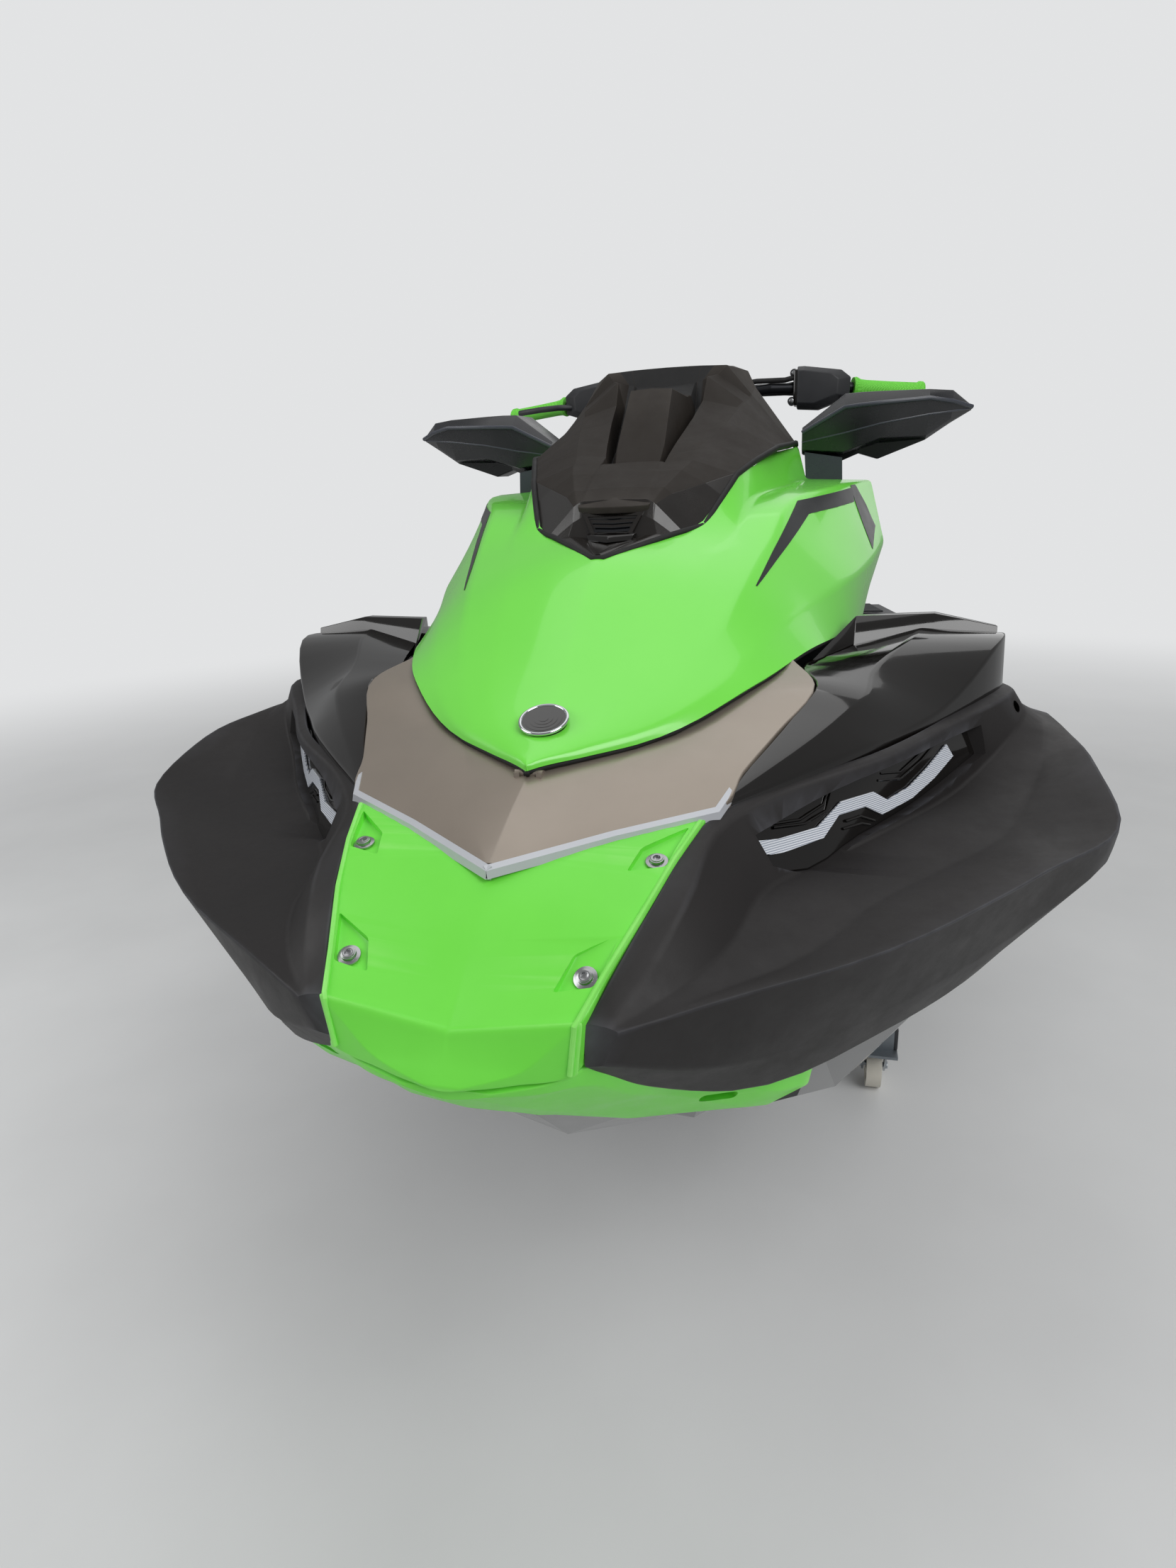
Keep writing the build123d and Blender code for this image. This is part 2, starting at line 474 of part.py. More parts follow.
with BuildPart() as seat_rear:
    add(across([(x, [(0, 985), (yb, 985), (ym, zm), (yt, zt), (0, zt + 6)])
                for x, yb, ym, zm, yt, zt in (
                    (-618, 185, 205, 1050, 150, 1166), (-900, 190, 205, 1050, 150, 1172),
                    (-1140, 190, 200, 1050, 150, 1195), (-1225, 180, 185, 1050, 140, 1195))]))

GRAB_X = station(-1238)
with BuildPart() as grab_handle:
    with BuildLine() as grab_line:
        Polyline((GRAB_X, -120, 1000), (GRAB_X - 47, -120, 1105), (GRAB_X - 47, 120, 1105),
                 (GRAB_X, 120, 1000))
    with BuildSketch(Plane(origin=grab_line.line @ 0, z_dir=grab_line.line % 0)):
        Circle(13)
    sweep(path=grab_line.line, transition=Transition.RIGHT)
    with Locations((GRAB_X + 2, 0, 992)):
        Box(50, 300, 26)
    add(deck.part, mode=Mode.SUBTRACT)
    add(seat_rear.part, mode=Mode.SUBTRACT)

with BuildPart() as deck_mats:
    for sign in (1, -1):
        add(beside([(x, [(268, zf), (yf - 12, zf), (yf - 12, zf + 5), (268, zf + 5)])
                    for x, _, yf, zf in FOOTWELL[1:4]], sign))
    add(across([(x, [(0, z), (w, z), (w, z + 5), (0, z + 5)])
                for x, w, z in ((-1735, 470, 800.8), (-1270, 500, 826.2))]))
    add(deck.part, mode=Mode.SUBTRACT)

with BuildPart() as sponsons:
    for sign in (1, -1):
        add(beside([(x, [(yi - 40, 480), (yi + 42, 486), (yi + 48, 540), (yi - 40, 560)])
                    for x, yi in ((-1560, 490), (-1200, 512), (-800, 505))], sign))
    add(hull.part, mode=Mode.SUBTRACT)

with BuildPart() as ride_plate:
    with BuildSketch(Plane.XY.offset(KEEL_Z)):
        with Locations(((TUNNEL_FRONT + TRANSOM + 25) / 2, 0)):
            Rectangle(TUNNEL_FRONT - TRANSOM - 25, 2 * TUNNEL_HALF)
    extrude(amount=12)

GRATE_X = TUNNEL_FRONT + 225
with BuildPart() as intake_grate:
    for y in (-54, -27, 0, 27, 54):
        with BuildSketch(Plane.XZ.offset(-y)):
            with BuildLine():
                Polyline((GRATE_X - 160, 262), (GRATE_X + 160, 262), (GRATE_X + 160, 274),
                         (GRATE_X - 160, 290), close=True)
            make_face()
        extrude(amount=4, both=True)
    with Locations((GRATE_X + 155, 0, 268)):
        Box(20, 144, 12)
    with Locations((GRATE_X - 155, 0, 280)):
        Box(20, 144, 20)
    add(hull.part, mode=Mode.SUBTRACT)

with BuildPart() as pump_housing:
    with BuildSketch(Plane.YZ.offset(NOZZLE_X)):
        with Locations((0, JET_Z)):
            Circle(PUMP_R)
            Circle(PUMP_BORE, mode=Mode.SUBTRACT)
    extrude(amount=TUNNEL_FRONT - NOZZLE_X)
    # stator hub carried by its vanes
    with BuildSketch(Plane.YZ.offset(NOZZLE_X + 60)):
        with Locations((0, JET_Z)):
            Circle(30)
            with PolarLocations(0, 5):
                with Locations((PUMP_BORE / 2 + 12, 0)):
                    Rectangle(PUMP_BORE - 10, 5)
            Circle(SHAFT_R + GAP, mode=Mode.SUBTRACT)
    extrude(amount=130)
    # mounting flange on the tunnel roof
    with Locations((TUNNEL_FRONT - 150, 0, (TUNNEL_TOP + JET_Z + PUMP_BORE) / 2 + 2)):
        Box(200, 120, TUNNEL_TOP - JET_Z - PUMP_BORE - 4)
    # ears for the nozzle's pins
    for sign in (1, -1):
        with Locations((NOZZLE_X - 18, 0, JET_Z + sign * 86)):
            Box(52, 30, 12)
        with Locations((NOZZLE_X - 25, 0, JET_Z + sign * 81)):
            Cylinder(NOZZLE_PIN, 16)

# Impeller: four blades pitched as a screw between hub and wear ring, on the drive shaft
IMPELLER_X, HUB_R, BLADE_THICK = NOZZLE_X + 280, 26.0, 4.0
BLADE_HALF, BLADE_PITCH = 42.0, 210.0


def blade():
    """One blade: a thin radial slice that turns with the screw as it goes along the shaft."""
    rings = []
    for step in range(7):
        x = -BLADE_HALF + step * BLADE_HALF / 3
        turn = 2 * math.pi * x / BLADE_PITCH
        corners = [(radius, turn + way * BLADE_THICK / 2 / radius)
                   for radius, way in ((HUB_R - 4, 1), (IMPELLER_R, 1), (IMPELLER_R, -1), (HUB_R - 4, -1))]
        rings.append([Vector(IMPELLER_X + x, radius * math.cos(angle), JET_Z + radius * math.sin(angle))
                      for radius, angle in corners])
    return panelled(rings)


with BuildPart() as impeller:
    with BuildSketch(Plane.YZ.offset(IMPELLER_X - 60)):
        with Locations((0, JET_Z)):
            Circle(HUB_R)
    extrude(amount=120)
    with BuildSketch(Plane.YZ.offset(NOZZLE_X + 100)):
        with Locations((0, JET_Z)):
            Circle(SHAFT_R)
    extrude(amount=BAY_REAR - NOZZLE_X + 35 - 100)
    for i in range(4):
        add(blade().rotate(Axis((0, 0, JET_Z), (1, 0, 0)), 90 * i))

# Steering nozzle: a tapering ring of narrow flats, with lands for its pivots above and below
def ring(x, radius, corners=48):
    turns = [2 * math.pi * i / corners for i in range(corners)]
    return [Vector(x, radius * math.cos(turn), JET_Z + radius * math.sin(turn)) for turn in turns]


with BuildPart() as nozzle:
    add(panelled([ring(NOZZLE_X - 6, 72), ring(NOZZLE_X - 130, 52)], halves=False))
    add(panelled([ring(NOZZLE_X - 5, 64), ring(NOZZLE_X - 131, 44)], halves=False), mode=Mode.SUBTRACT)
    for sign in (1, -1):
        with Locations((NOZZLE_X - 25, 0, JET_Z + sign * (80 - GAP - 7))):
            Box(26, 26, 14)
        with Locations((NOZZLE_X - 25, 0, JET_Z + sign * 80)):
            Cylinder(NOZZLE_PIN + GAP, 16, mode=Mode.SUBTRACT)
        with Locations((NOZZLE_X - 95, sign * 58, JET_Z)):
            Box(22, 8, 22)
        with Locations(Location((NOZZLE_X - 95, sign * 67, JET_Z), (90, 0, 0))):
            Cylinder(BUCKET_PIN, 12)

# Reverse bucket: a curved shell about the nozzle's side pins, stowed above it
BUCKET_X, BUCKET_R, BUCKET_WALL = NOZZLE_X - 95, 80.0, 7.0
BUCKET_FROM, BUCKET_TO = 64.0, 148.0


def around(radius, angle):
    turn = math.radians(angle)
    return (BUCKET_X + radius * math.cos(turn), JET_Z + radius * math.sin(turn))


with BuildPart() as reverse_bucket:
    middle = (BUCKET_FROM + BUCKET_TO) / 2
    with BuildSketch(Plane.XZ):
        with BuildLine():
            outer, inner = (ThreePointArc(*(around(radius, a) for a in (BUCKET_FROM, middle, BUCKET_TO)))
                            for radius in (BUCKET_R + BUCKET_WALL, BUCKET_R))
            Line(outer @ 0, inner @ 0)
            Line(outer @ 1, inner @ 1)
        make_face()
    extrude(amount=70, both=True)
    for sign in (1, -1):
        with BuildSketch(Plane.XZ.offset(-sign * 67)):
            with BuildLine():
                rim = ThreePointArc(*(around(BUCKET_R + 2, a) for a in (BUCKET_FROM, middle, BUCKET_TO)))
                Polyline(rim @ 1, (BUCKET_X - 14, JET_Z), (BUCKET_X + 14, JET_Z), rim @ 0)
            make_face()
            with Locations((BUCKET_X, JET_Z)):
                Circle(14)
                Circle(BUCKET_PIN + GAP, mode=Mode.SUBTRACT)
        extrude(amount=3, both=True)

# Brackets of the boarding step on the transom, and the stern tie-down eyes
STEP_X, STEP_Z, STEP_Y, STEP_R = TRANSOM - 37, 560.0, 165.0, 11.0
with BuildPart() as step_brackets:
    for sign in (1, -1):
        with Locations((STEP_X + 12.5, sign * (STEP_Y - STEP_R - 8), STEP_Z)):
            Box(49, 14, 34)
        with Locations(Location((STEP_X, sign * (STEP_Y - 8), STEP_Z), (90, 0, 0))):
            Cylinder(5, 36)

with BuildPart() as boarding_step:
    with BuildLine() as step_line:
        Polyline((STEP_X, -STEP_Y, STEP_Z - 14), (STEP_X, -STEP_Y, 770), (STEP_X, STEP_Y, 770),
                 (STEP_X, STEP_Y, STEP_Z - 14))
    with BuildSketch(Plane(origin=step_line.line @ 0, z_dir=step_line.line % 0)):
        Circle(STEP_R)
    sweep(path=step_line.line, transition=Transition.RIGHT)
    with Locations((STERN + 15, 0, 770)):
        Box(30, 300, 40)
    with Locations(Location((STEP_X, 0, STEP_Z), (90, 0, 0))):
        Cylinder(5 + GAP, 400, mode=Mode.SUBTRACT)

with BuildPart() as stern_eyes:
    for sign in (1, -1):
        with BuildSketch(Plane.XZ.offset(-sign * 330 + 5)):
            with Locations((TRANSOM - 24, 690)):
                RectangleRounded(50, 44, 10)
                with Locations((-6, 0)):
                    Circle(10, mode=Mode.SUBTRACT)
        extrude(amount=-10)
        with Locations((TRANSOM - 2.5, sign * 330, 690)):
            Box(5, 60, 70)
    add(hull.part, mode=Mode.SUBTRACT)

# Dolly: welded square tubes, two hull bunks and four swivel casters
TUBE_Z = CASTER_TOP + TUBE / 2
with BuildPart() as dolly_frame:
    for x in (FRONT_X, REAR_X):
        with Locations((x, 0, TUBE_Z)):
            Box(TUBE, 2 * SWIVEL_Y + 70, TUBE)
            Box(TUBE - 6, 2 * SWIVEL_Y + 80, TUBE - 6, mode=Mode.SUBTRACT)
    for sign in (1, -1):
        with Locations(((FRONT_X + REAR_X) / 2, sign * RAIL_Y, TUBE_Z)):
            Box(FRONT_X - REAR_X - TUBE, TUBE, TUBE)
    # top plates and king pins of the casters
    for _, x, y in SWIVELS:
        with Locations((x, y, CASTER_TOP - 3)):
            Box(105, 85, 6)
        with Locations((x, y, CASTER_TOP - 11)):
            Cylinder(KING_PIN, 22)

with BuildPart() as dolly_bunks:
    for sign in (1, -1):
        with Locations(((FRONT_X + REAR_X) / 2, sign * RAIL_Y, CASTER_TOP + TUBE + 120)):
            Box(FRONT_X - REAR_X + 160, 60, 240)
    add(hull.part, mode=Mode.SUBTRACT)

casters = []
for place, x, y in SWIVELS:
    axle_x = x - FORK_TRAIL
    with BuildPart() as fork:
        with Locations((x - 8, y, CASTER_TOP - 6 - GAP - 6)):
            Box(74, WHEEL_WIDTH + 18, 12)
        chamfer(fork.edges().filter_by(Axis.Z), 12)
        for sign in (1, -1):
            with BuildSketch(Plane.XZ.offset(-(y + sign * (WHEEL_WIDTH / 2 + 7)))):
                with BuildLine():
                    Polyline((axle_x - 12, WHEEL_R - 6), (axle_x - 5, WHEEL_R - 13), (axle_x + 5, WHEEL_R - 13),
                             (axle_x + 12, WHEEL_R - 6), (x + 20, CASTER_TOP - 16), (x - 34, CASTER_TOP - 16),
                             close=True)
                make_face()
            extrude(amount=2, both=True)
        with Locations(Location((axle_x, y, WHEEL_R), (90, 0, 0))):
            Cylinder(AXLE_R, WHEEL_WIDTH + 18)
        with Locations((x, y, CASTER_TOP - 20)):
            Cylinder(KING_PIN + GAP, 60, mode=Mode.SUBTRACT)
    with BuildPart() as wheel:
        with Locations(Location((axle_x, y, WHEEL_R), (90, 0, 0))):
            Cylinder(WHEEL_R, WHEEL_WIDTH)
            Cylinder(AXLE_R + GAP, WHEEL_WIDTH + 40, mode=Mode.SUBTRACT)
    casters += [(f"caster_fork_{place}", fork), (f"caster_wheel_{place}", wheel)]

for name, maker in (
        ("hull", hull), ("deck", deck), ("engine", engine), ("storage_bin", storage_bin),
        ("bow_cap", bow_cap), ("nose_bumper", nose_bumper), ("deck_panel", deck_panel),
        ("fenders", fenders), ("bow_lights", bow_lights), ("shoulders", shoulders), ("hood", hood),
        ("hood_hinge", hood_hinge), ("cowl", cowl), ("cowl_lens", cowl_lens), ("badge", badge),
        ("mirrors", mirrors), ("console", console), ("glove_lid", glove_lid), ("display", display),
        ("handlebar", handlebar), ("grips", grips), ("controls", controls),
        ("seat_front", seat_front), ("seat_rear", seat_rear), ("grab_handle", grab_handle),
        ("deck_mats", deck_mats), ("step_brackets", step_brackets), ("boarding_step", boarding_step),
        ("stern_eyes", stern_eyes), ("sponsons", sponsons),
        ("ride_plate", ride_plate), ("intake_grate", intake_grate), ("pump_housing", pump_housing),
        ("impeller", impeller), ("nozzle", nozzle), ("reverse_bucket", reverse_bucket),
        ("dolly_frame", dolly_frame), ("dolly_bunks", dolly_bunks),
        *casters):
    maker.part.label = name
    export_step(maker.part, f"parts/{name}.step")
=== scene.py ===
# %% [markdown]
# # A sit-down personal watercraft on its wheeled dolly
# The solids made in CAD arrive as a fixed frame. Around them this notebook lays the visible
# surfaces: lacquered covers, moulded bumpers, lights, vinyl seats, grips, screws and the dolly's
# zinc. Lengths are in metres, the bow points to +X, port to +Y, and the floor is at Z 0.

# %% The frame
import bpy
import math
import numpy as np
from mathutils import Matrix, Vector


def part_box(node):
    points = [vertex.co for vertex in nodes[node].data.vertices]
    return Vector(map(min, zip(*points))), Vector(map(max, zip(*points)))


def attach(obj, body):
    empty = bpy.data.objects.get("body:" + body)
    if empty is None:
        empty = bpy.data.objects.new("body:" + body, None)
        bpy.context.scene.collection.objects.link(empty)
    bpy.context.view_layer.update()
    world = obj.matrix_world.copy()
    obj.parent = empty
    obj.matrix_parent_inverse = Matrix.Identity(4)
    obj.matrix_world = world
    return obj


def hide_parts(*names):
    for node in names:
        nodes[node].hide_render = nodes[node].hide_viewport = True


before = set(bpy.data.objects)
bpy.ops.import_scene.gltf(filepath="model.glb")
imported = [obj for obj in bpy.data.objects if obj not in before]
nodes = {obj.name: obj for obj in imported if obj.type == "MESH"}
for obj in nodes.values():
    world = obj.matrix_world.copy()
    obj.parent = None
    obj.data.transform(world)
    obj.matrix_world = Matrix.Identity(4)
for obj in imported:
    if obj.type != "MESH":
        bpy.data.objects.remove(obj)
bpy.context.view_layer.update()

# %% [markdown]
# ## Camera
# The photograph looks down on the bow from just above hood height, a little to port, with a
# wide phone lens held slightly askew. The same place, turn and lens are given to the camera.

# %% Camera
bpy.ops.object.camera_add(location=(2.35, 0.289, 1.27),
                          rotation=[math.radians(a) for a in (72.4648, 2.1441, 104.5486)])
camera = bpy.context.object
camera.name = "photo_camera"
camera.data.sensor_width = 36
camera.data.lens = 20.539
camera.data.clip_start = 0.02
bpy.context.scene.camera = camera
print("lens", camera.data.lens, "mm")

# %% [markdown]
# ## Colours and shader helpers
# Colours are hex values, matched to the photograph, and turned to linear light once.
# `put` adds one shader node, sets its options, and fills or links its inputs.

# %% Colour and node helpers
def linear(hex_colour):
    parts = [int(hex_colour[i:i + 2], 16) / 255 for i in (1, 3, 5)]
    return (*[c / 12.92 if c <= 0.04045 else ((c + 0.055) / 1.055) ** 2.4 for c in parts], 1.0)


def put(tree, kind, inputs=None, **options):
    made = tree.nodes.new(kind)
    for option, value in options.items():
        setattr(made, option, value)
    for socket, value in (inputs or {}).items():
        if isinstance(value, bpy.types.NodeSocket):
            tree.links.new(value, made.inputs[socket])
        else:
            made.inputs[socket].default_value = value
    return made


def shades(tree, factor, *stops):
    """A ramp of colours or greys along a factor."""
    ramp = put(tree, "ShaderNodeValToRGB", {"Fac": factor})
    while len(ramp.color_ramp.elements) < len(stops):
        ramp.color_ramp.elements.new(0.5)
    for element, (place, colour) in zip(ramp.color_ramp.elements, stops):
        element.position = place
        element.color = linear(colour) if isinstance(colour, str) else (colour, colour, colour, 1)
    return ramp.outputs["Color"]


# %% [markdown]
# Three kinds of nodes come up again and again, so each has a function that returns its result.

# %% Sums, noise and ranges
def reckon(tree, operation, *values):
    """The result of a Math node with two or three values."""
    return put(tree, "ShaderNodeMath", dict(enumerate(values)), operation=operation).outputs[0]


def noise(tree, place, scale, detail, roughness=0.5):
    """Soft noise, scale in lumps per metre."""
    return put(tree, "ShaderNodeTexNoise", {"Vector": place, "Scale": scale, "Detail": detail,
                                            "Roughness": roughness}).outputs["Fac"]


def stretch(tree, value, low, high, new_low=0.0, new_high=1.0):
    """What lies between low and high is spread between new_low and new_high."""
    return put(tree, "ShaderNodeMapRange", {"Value": value, "From Min": low, "From Max": high,
                                            "To Min": new_low, "To Max": new_high}).outputs[0]


# %% [markdown]
# Nearly every finish on this craft is one of two kinds: a sprayed or moulded skin with a slight
# drift of colour, a fine grain and dulled spots, or a metal with the same. One recipe makes both.
# The grain is bump from fine noise, the drift is slow noise, and edges pick up pale scuffs where
# the shape is convex.

# %% The recipe for skins and metals
def begin(name):
    """A new material with its nodes, its shader and the object's own coordinates."""
    material = bpy.data.materials.new(name)
    material.use_nodes = True
    tree = material.node_tree
    place = put(tree, "ShaderNodeTexCoord").outputs["Object"]
    return material, tree, tree.nodes["Principled BSDF"], place


def dress(tree, shader, tint, rough, height, strength, depth, surface):
    """Links colour, roughness and bump, with depth in mm, and sets the shader's other values."""
    tree.links.new(tint, shader.inputs["Base Color"])
    tree.links.new(rough, shader.inputs["Roughness"])
    bump = put(tree, "ShaderNodeBump", {"Height": height, "Strength": strength, "Distance": depth / 1000})
    tree.links.new(bump.outputs[0], shader.inputs["Normal"])
    for socket, value in surface.items():
        shader.inputs[socket.replace("_", " ")].default_value = value


def finish(name, colour, drift, rough, grain=(900, 0.05), rub=None, **surface):
    """rough is (low, high); grain is (scale, depth in mm); rub is (colour, amount) of worn edges."""
    material, tree, shader, place = begin(name)
    tint = shades(tree, noise(tree, place, 3.1, 5.0, 0.6), (0.3, colour), (0.72, drift))
    if rub:
        worn = stretch(tree, put(tree, "ShaderNodeNewGeometry").outputs["Pointiness"], 0.515, 0.57)
        patchy = reckon(tree, "MULTIPLY", worn, noise(tree, place, 38.0, 6.0))
        amount = reckon(tree, "MULTIPLY", patchy, rub[1])
        tint = put(tree, "ShaderNodeMix", {"Factor": amount, 6: tint, 7: linear(rub[0])},
                   data_type="RGBA").outputs[2]
    dulled = stretch(tree, noise(tree, place, 17.0, 8.0, 0.7), 0.3, 0.7, *rough)
    scale, depth = grain
    dress(tree, shader, tint, dulled, noise(tree, place, float(scale), 3.0), 0.6, depth, surface)
    return material


# %% [markdown]
# ## The finishes
# The hood and its rear corners are sprayed lime green under clear lacquer, the bumper is the same
# green moulded right through, so it shines less. The big fenders are bare black polypropylene,
# the shoulders are black lacquer, and the deck panel between hood and bumper is a champagne metallic.

# %% Lacquers and moulded plastics
# two-pack lacquer over a smooth shell: even colour, soft reflections, a clear coat on top
green_lacquer = finish("Sprayed lime green lacquer", "#7BE84F", "#75E44A", (0.24, 0.27), (40, 0.02),
                       Coat_Weight=0.4, Coat_Roughness=0.05)
# coloured right through, straight from the mould: satin, with pale scuffs on its edges
green_moulded = finish("Lime green moulded plastic", "#76E64B", "#6CDC41", (0.34, 0.46), (700, 0.05),
                       rub=("#B9F59A", 0.5))
# aluminium flake under clear coat: half metallic, with a fine sparkle
champagne = finish("Champagne grey metallic lacquer", "#A1968A", "#978C80", (0.3, 0.4), (1500, 0.05),
                   Metallic=0.55, Coat_Weight=0.5, Coat_Roughness=0.12)
# the front lip: pale as a painted highlight along its edge, and dull
panel_lip_highlight = finish("Pale panel lip, painted highlight", "#C9CBD0", "#BFC2C8", (0.35, 0.45), (900, 0.03), Metallic=0.3)
# polished lacquer: almost black, and what shows in it is the room
black_lacquer = finish("Gloss black lacquer", "#0D0B0A", "#120F0D", (0.06, 0.12), (220, 0.02),
                       Coat_Weight=0.5, Coat_Roughness=0.03)
# gelcoat from a polished mould, thick and glossy, with slight waves
black_gelcoat = finish("Polished black gelcoat", "#16171A", "#1B1C20", (0.1, 0.2), (240, 0.03),
                       Coat_Weight=0.5, Coat_Roughness=0.08)
# bare polypropylene with a fine grain: dark, dull, and grey where it has been rubbed
fender_plastic = finish("Satin black moulded fender", "#1D1B1B", "#242121", (0.46, 0.62), (620, 0.09),
                        rub=("#70727A", 0.7), Specular_IOR_Level=0.38)
# the deck's plastic is the same in a cooler black
black_moulded = finish("Black moulded deck plastic", "#1B1C1F", "#232427", (0.45, 0.6), (700, 0.08),
                       rub=("#55575C", 0.4))
# spark-eroded texture of the cowl's mould: flat charcoal that hides the reflections
cowl_textured = finish("Charcoal textured cowl", "#221D19", "#2A2520", (0.6, 0.74), (1100, 0.16),
                       rub=("#6A6560", 0.4), Specular_IOR_Level=0.28)
# the same part polished round the lamp
cowl_band = finish("Gloss charcoal cowl band", "#171412", "#1E1A17", (0.2, 0.3), (500, 0.04),
                   Coat_Weight=0.3, Coat_Roughness=0.15)
# extruded rubber: dull, grey where docks have rubbed it
rail_rubber = finish("Black rub rail rubber", "#161719", "#1D1E20", (0.5, 0.62), (700, 0.06),
                     rub=("#4A4C50", 0.5))
# small parts: a satin red button, a thin glossy film, painted shells, soft rubber without shine
button_red = finish("Red engine stop button", "#A3201C", "#8F1B18", (0.3, 0.4), (700, 0.03))
stripe_black = finish("Black vinyl stripe", "#15181A", "#1C1F22", (0.28, 0.36), (800, 0.02))
mirror_black = finish("Satin black mirror shell", "#17181B", "#1E1F23", (0.22, 0.34), (600, 0.03),
                      rub=("#4E5055", 0.4))
trim_grey = finish("Satin grey mirror trim", "#3A3D46", "#43464F", (0.25, 0.35), (700, 0.03))
# near-black rubber for seals, cables and the boot; on the cowl it is also painted shade in the slot floors
# and the hollow behind the pod
black_rubber_and_painted_shade = finish("Black rubber seal and painted shade", "#0B0B0C", "#101011", (0.6, 0.75), (900, 0.05))

# %% [markdown]
# Metals are few: stainless screws and boarding step, zinc-plated casters, a galvanised frame, a
# chrome ring round the bare black disc on the hood, and the cast aluminium of the jet drive.

# %% Metals, glass and the rest
# ground steel: even and bright, with a soft reflection
stainless = finish("Brushed stainless steel", "#B9BABB", "#A9AAAC", (0.2, 0.32), (1200, 0.02), Metallic=1.0)
# plating straight from the bath: bright but cloudy
zinc = finish("Bright zinc plate", "#AEB3B8", "#9CA2A8", (0.28, 0.45), (420, 0.04), Metallic=1.0)
# hot-dipped zinc: dull grey with slow blotches
galvanised = finish("Galvanised steel tube", "#8F959A", "#7C8287", (0.4, 0.6), (60, 0.08), Metallic=0.85)
# thin bright plating: nearly a mirror
chrome = finish("Chromed plastic ring", "#DDE0E2", "#D2D5D8", (0.06, 0.12), (300, 0.01), Metallic=1.0)
# cast and left rough: a wide, weak shine
aluminium = finish("Cast aluminium", "#7D7F82", "#6E7073", (0.42, 0.6), (500, 0.14), Metallic=0.9)
# a silver layer behind glass: a sharp mirror
mirror_glass = finish("Silvered mirror glass", "#C9CED2", "#C2C7CC", (0.03, 0.06), (200, 0.005), Metallic=1.0)
# a dark oxide skin: black with a metal sheen
anodised = finish("Black anodised aluminium", "#2A2B2E", "#222326", (0.3, 0.42), (900, 0.03), Metallic=0.8)
# thick paint on a coarse casting
engine_paint = finish("Engine grey casting", "#54575A", "#484B4E", (0.5, 0.65), (420, 0.16), Metallic=0.5)
# cast nylon: waxy off-white, grey where it rolls
white_nylon = finish("White cast nylon wheel", "#DAD6CB", "#C9C4B7", (0.4, 0.55), (500, 0.08),
                     rub=("#8D897E", 0.5))
# coated glass over a dark screen
screen_glass = finish("Display glass", "#0A0C0F", "#0D1013", (0.04, 0.08), (300, 0.01), Coat_Weight=0.6)
print("finishes:", len(bpy.data.materials))


# %% [markdown]
# ## Patterned finishes
# A few surfaces carry a real pattern: the diamond knurl of the rubber grips, the cross grooves of the
# foam traction mats, the vinyl's leather grain, the carpet over the dolly's bunks, and the fine
# prisms of the light strip. Each is a height pattern on the object's own coordinates.

# %% Patterns
def patterned(name, colour, groove, rough, depth, height, **surface):
    """A skin whose colour and bump both follow height(tree, place), 0 in a groove and 1 on top."""
    material, tree, shader, place = begin(name)
    both = reckon(tree, "MULTIPLY_ADD", noise(tree, place, 480.0, 4.0), 0.14, height(tree, place))
    tint = shades(tree, both, (0.15, groove), (0.75, colour))
    soiled = stretch(tree, noise(tree, place, 9.0, 6.0), 0.0, 1.0, *rough)
    dress(tree, shader, tint, soiled, both, 0.8, depth, surface)
    return material


def bands(tree, place, axis, turn, duty=0.5):
    """Rounded ribs along one axis, one in every 6283 / turn millimetres."""
    wave = put(tree, "ShaderNodeTexWave", {"Vector": place, "Scale": turn / 20}, bands_direction=axis)
    return stretch(tree, wave.outputs["Fac"], 0.1, duty)


def knurl(tree, place):
    """Diamonds 2.4 mm wide, where two sets of slanting ribs cross."""
    turned = [put(tree, "ShaderNodeMapping", {"Vector": place, "Rotation": (0.6, 0, angle)}).outputs[0]
              for angle in (0.785, -0.785)]
    return reckon(tree, "MULTIPLY", *[bands(tree, t, "Y", 2600) for t in turned])


def leather(tree, place):
    """Cells about 1.4 mm wide with a crease round each."""
    cells = put(tree, "ShaderNodeTexVoronoi", {"Vector": place, "Scale": 700.0}, feature="DISTANCE_TO_EDGE")
    return stretch(tree, cells.outputs["Distance"], 0.0, 0.3)


def pile(tree, place):
    """Tufts about 1 mm apart."""
    return stretch(tree, noise(tree, place, 900.0, 6.0, 0.8), 0.35, 0.7)


# %% [markdown]
# The first colour of each is its raised part, the second its groove. Cloth, foam and rubber stay
# dull; only the light strip is glossy.

# %% Patterned finishes
# soft rubber, brighter on the tops of its knurl
grip_rubber = patterned("Knurled lime grip rubber", "#84F055", "#68D63C", (0.55, 0.7), 1.0, knurl)
# closed-cell foam with rounded grooves 114 mm apart
mat_foam = patterned("Grooved traction mat", "#2B2D31", "#111214", (0.75, 0.9), 1.6,
                     lambda tree, place: bands(tree, place, "X", 55, 0.35))
# coated cloth with a leather grain: satin, with darker creases
vinyl = patterned("Black marine vinyl", "#1E1F21", "#131415", (0.42, 0.56), 0.35, leather)
vinyl_side = patterned("Charcoal marine vinyl", "#3A3B3E", "#26272A", (0.45, 0.6), 0.35, leather)
# twisted polyester
thread = patterned("Lime stitching thread", "#6FD044", "#3E8A22", (0.5, 0.65), 0.3, knurl)
# short pile: no shine at all
carpet = patterned("Charcoal bunk carpet", "#3A3C40", "#1B1C1E", (0.9, 1.0), 2.0, pile)
# milky plastic with prisms 2 mm apart, unlit
light_strip = patterned("White ribbed light strip", "#E9EDF4", "#A9B2C2", (0.15, 0.3), 0.5,
                        lambda tree, place: bands(tree, place, "Z", 3000))
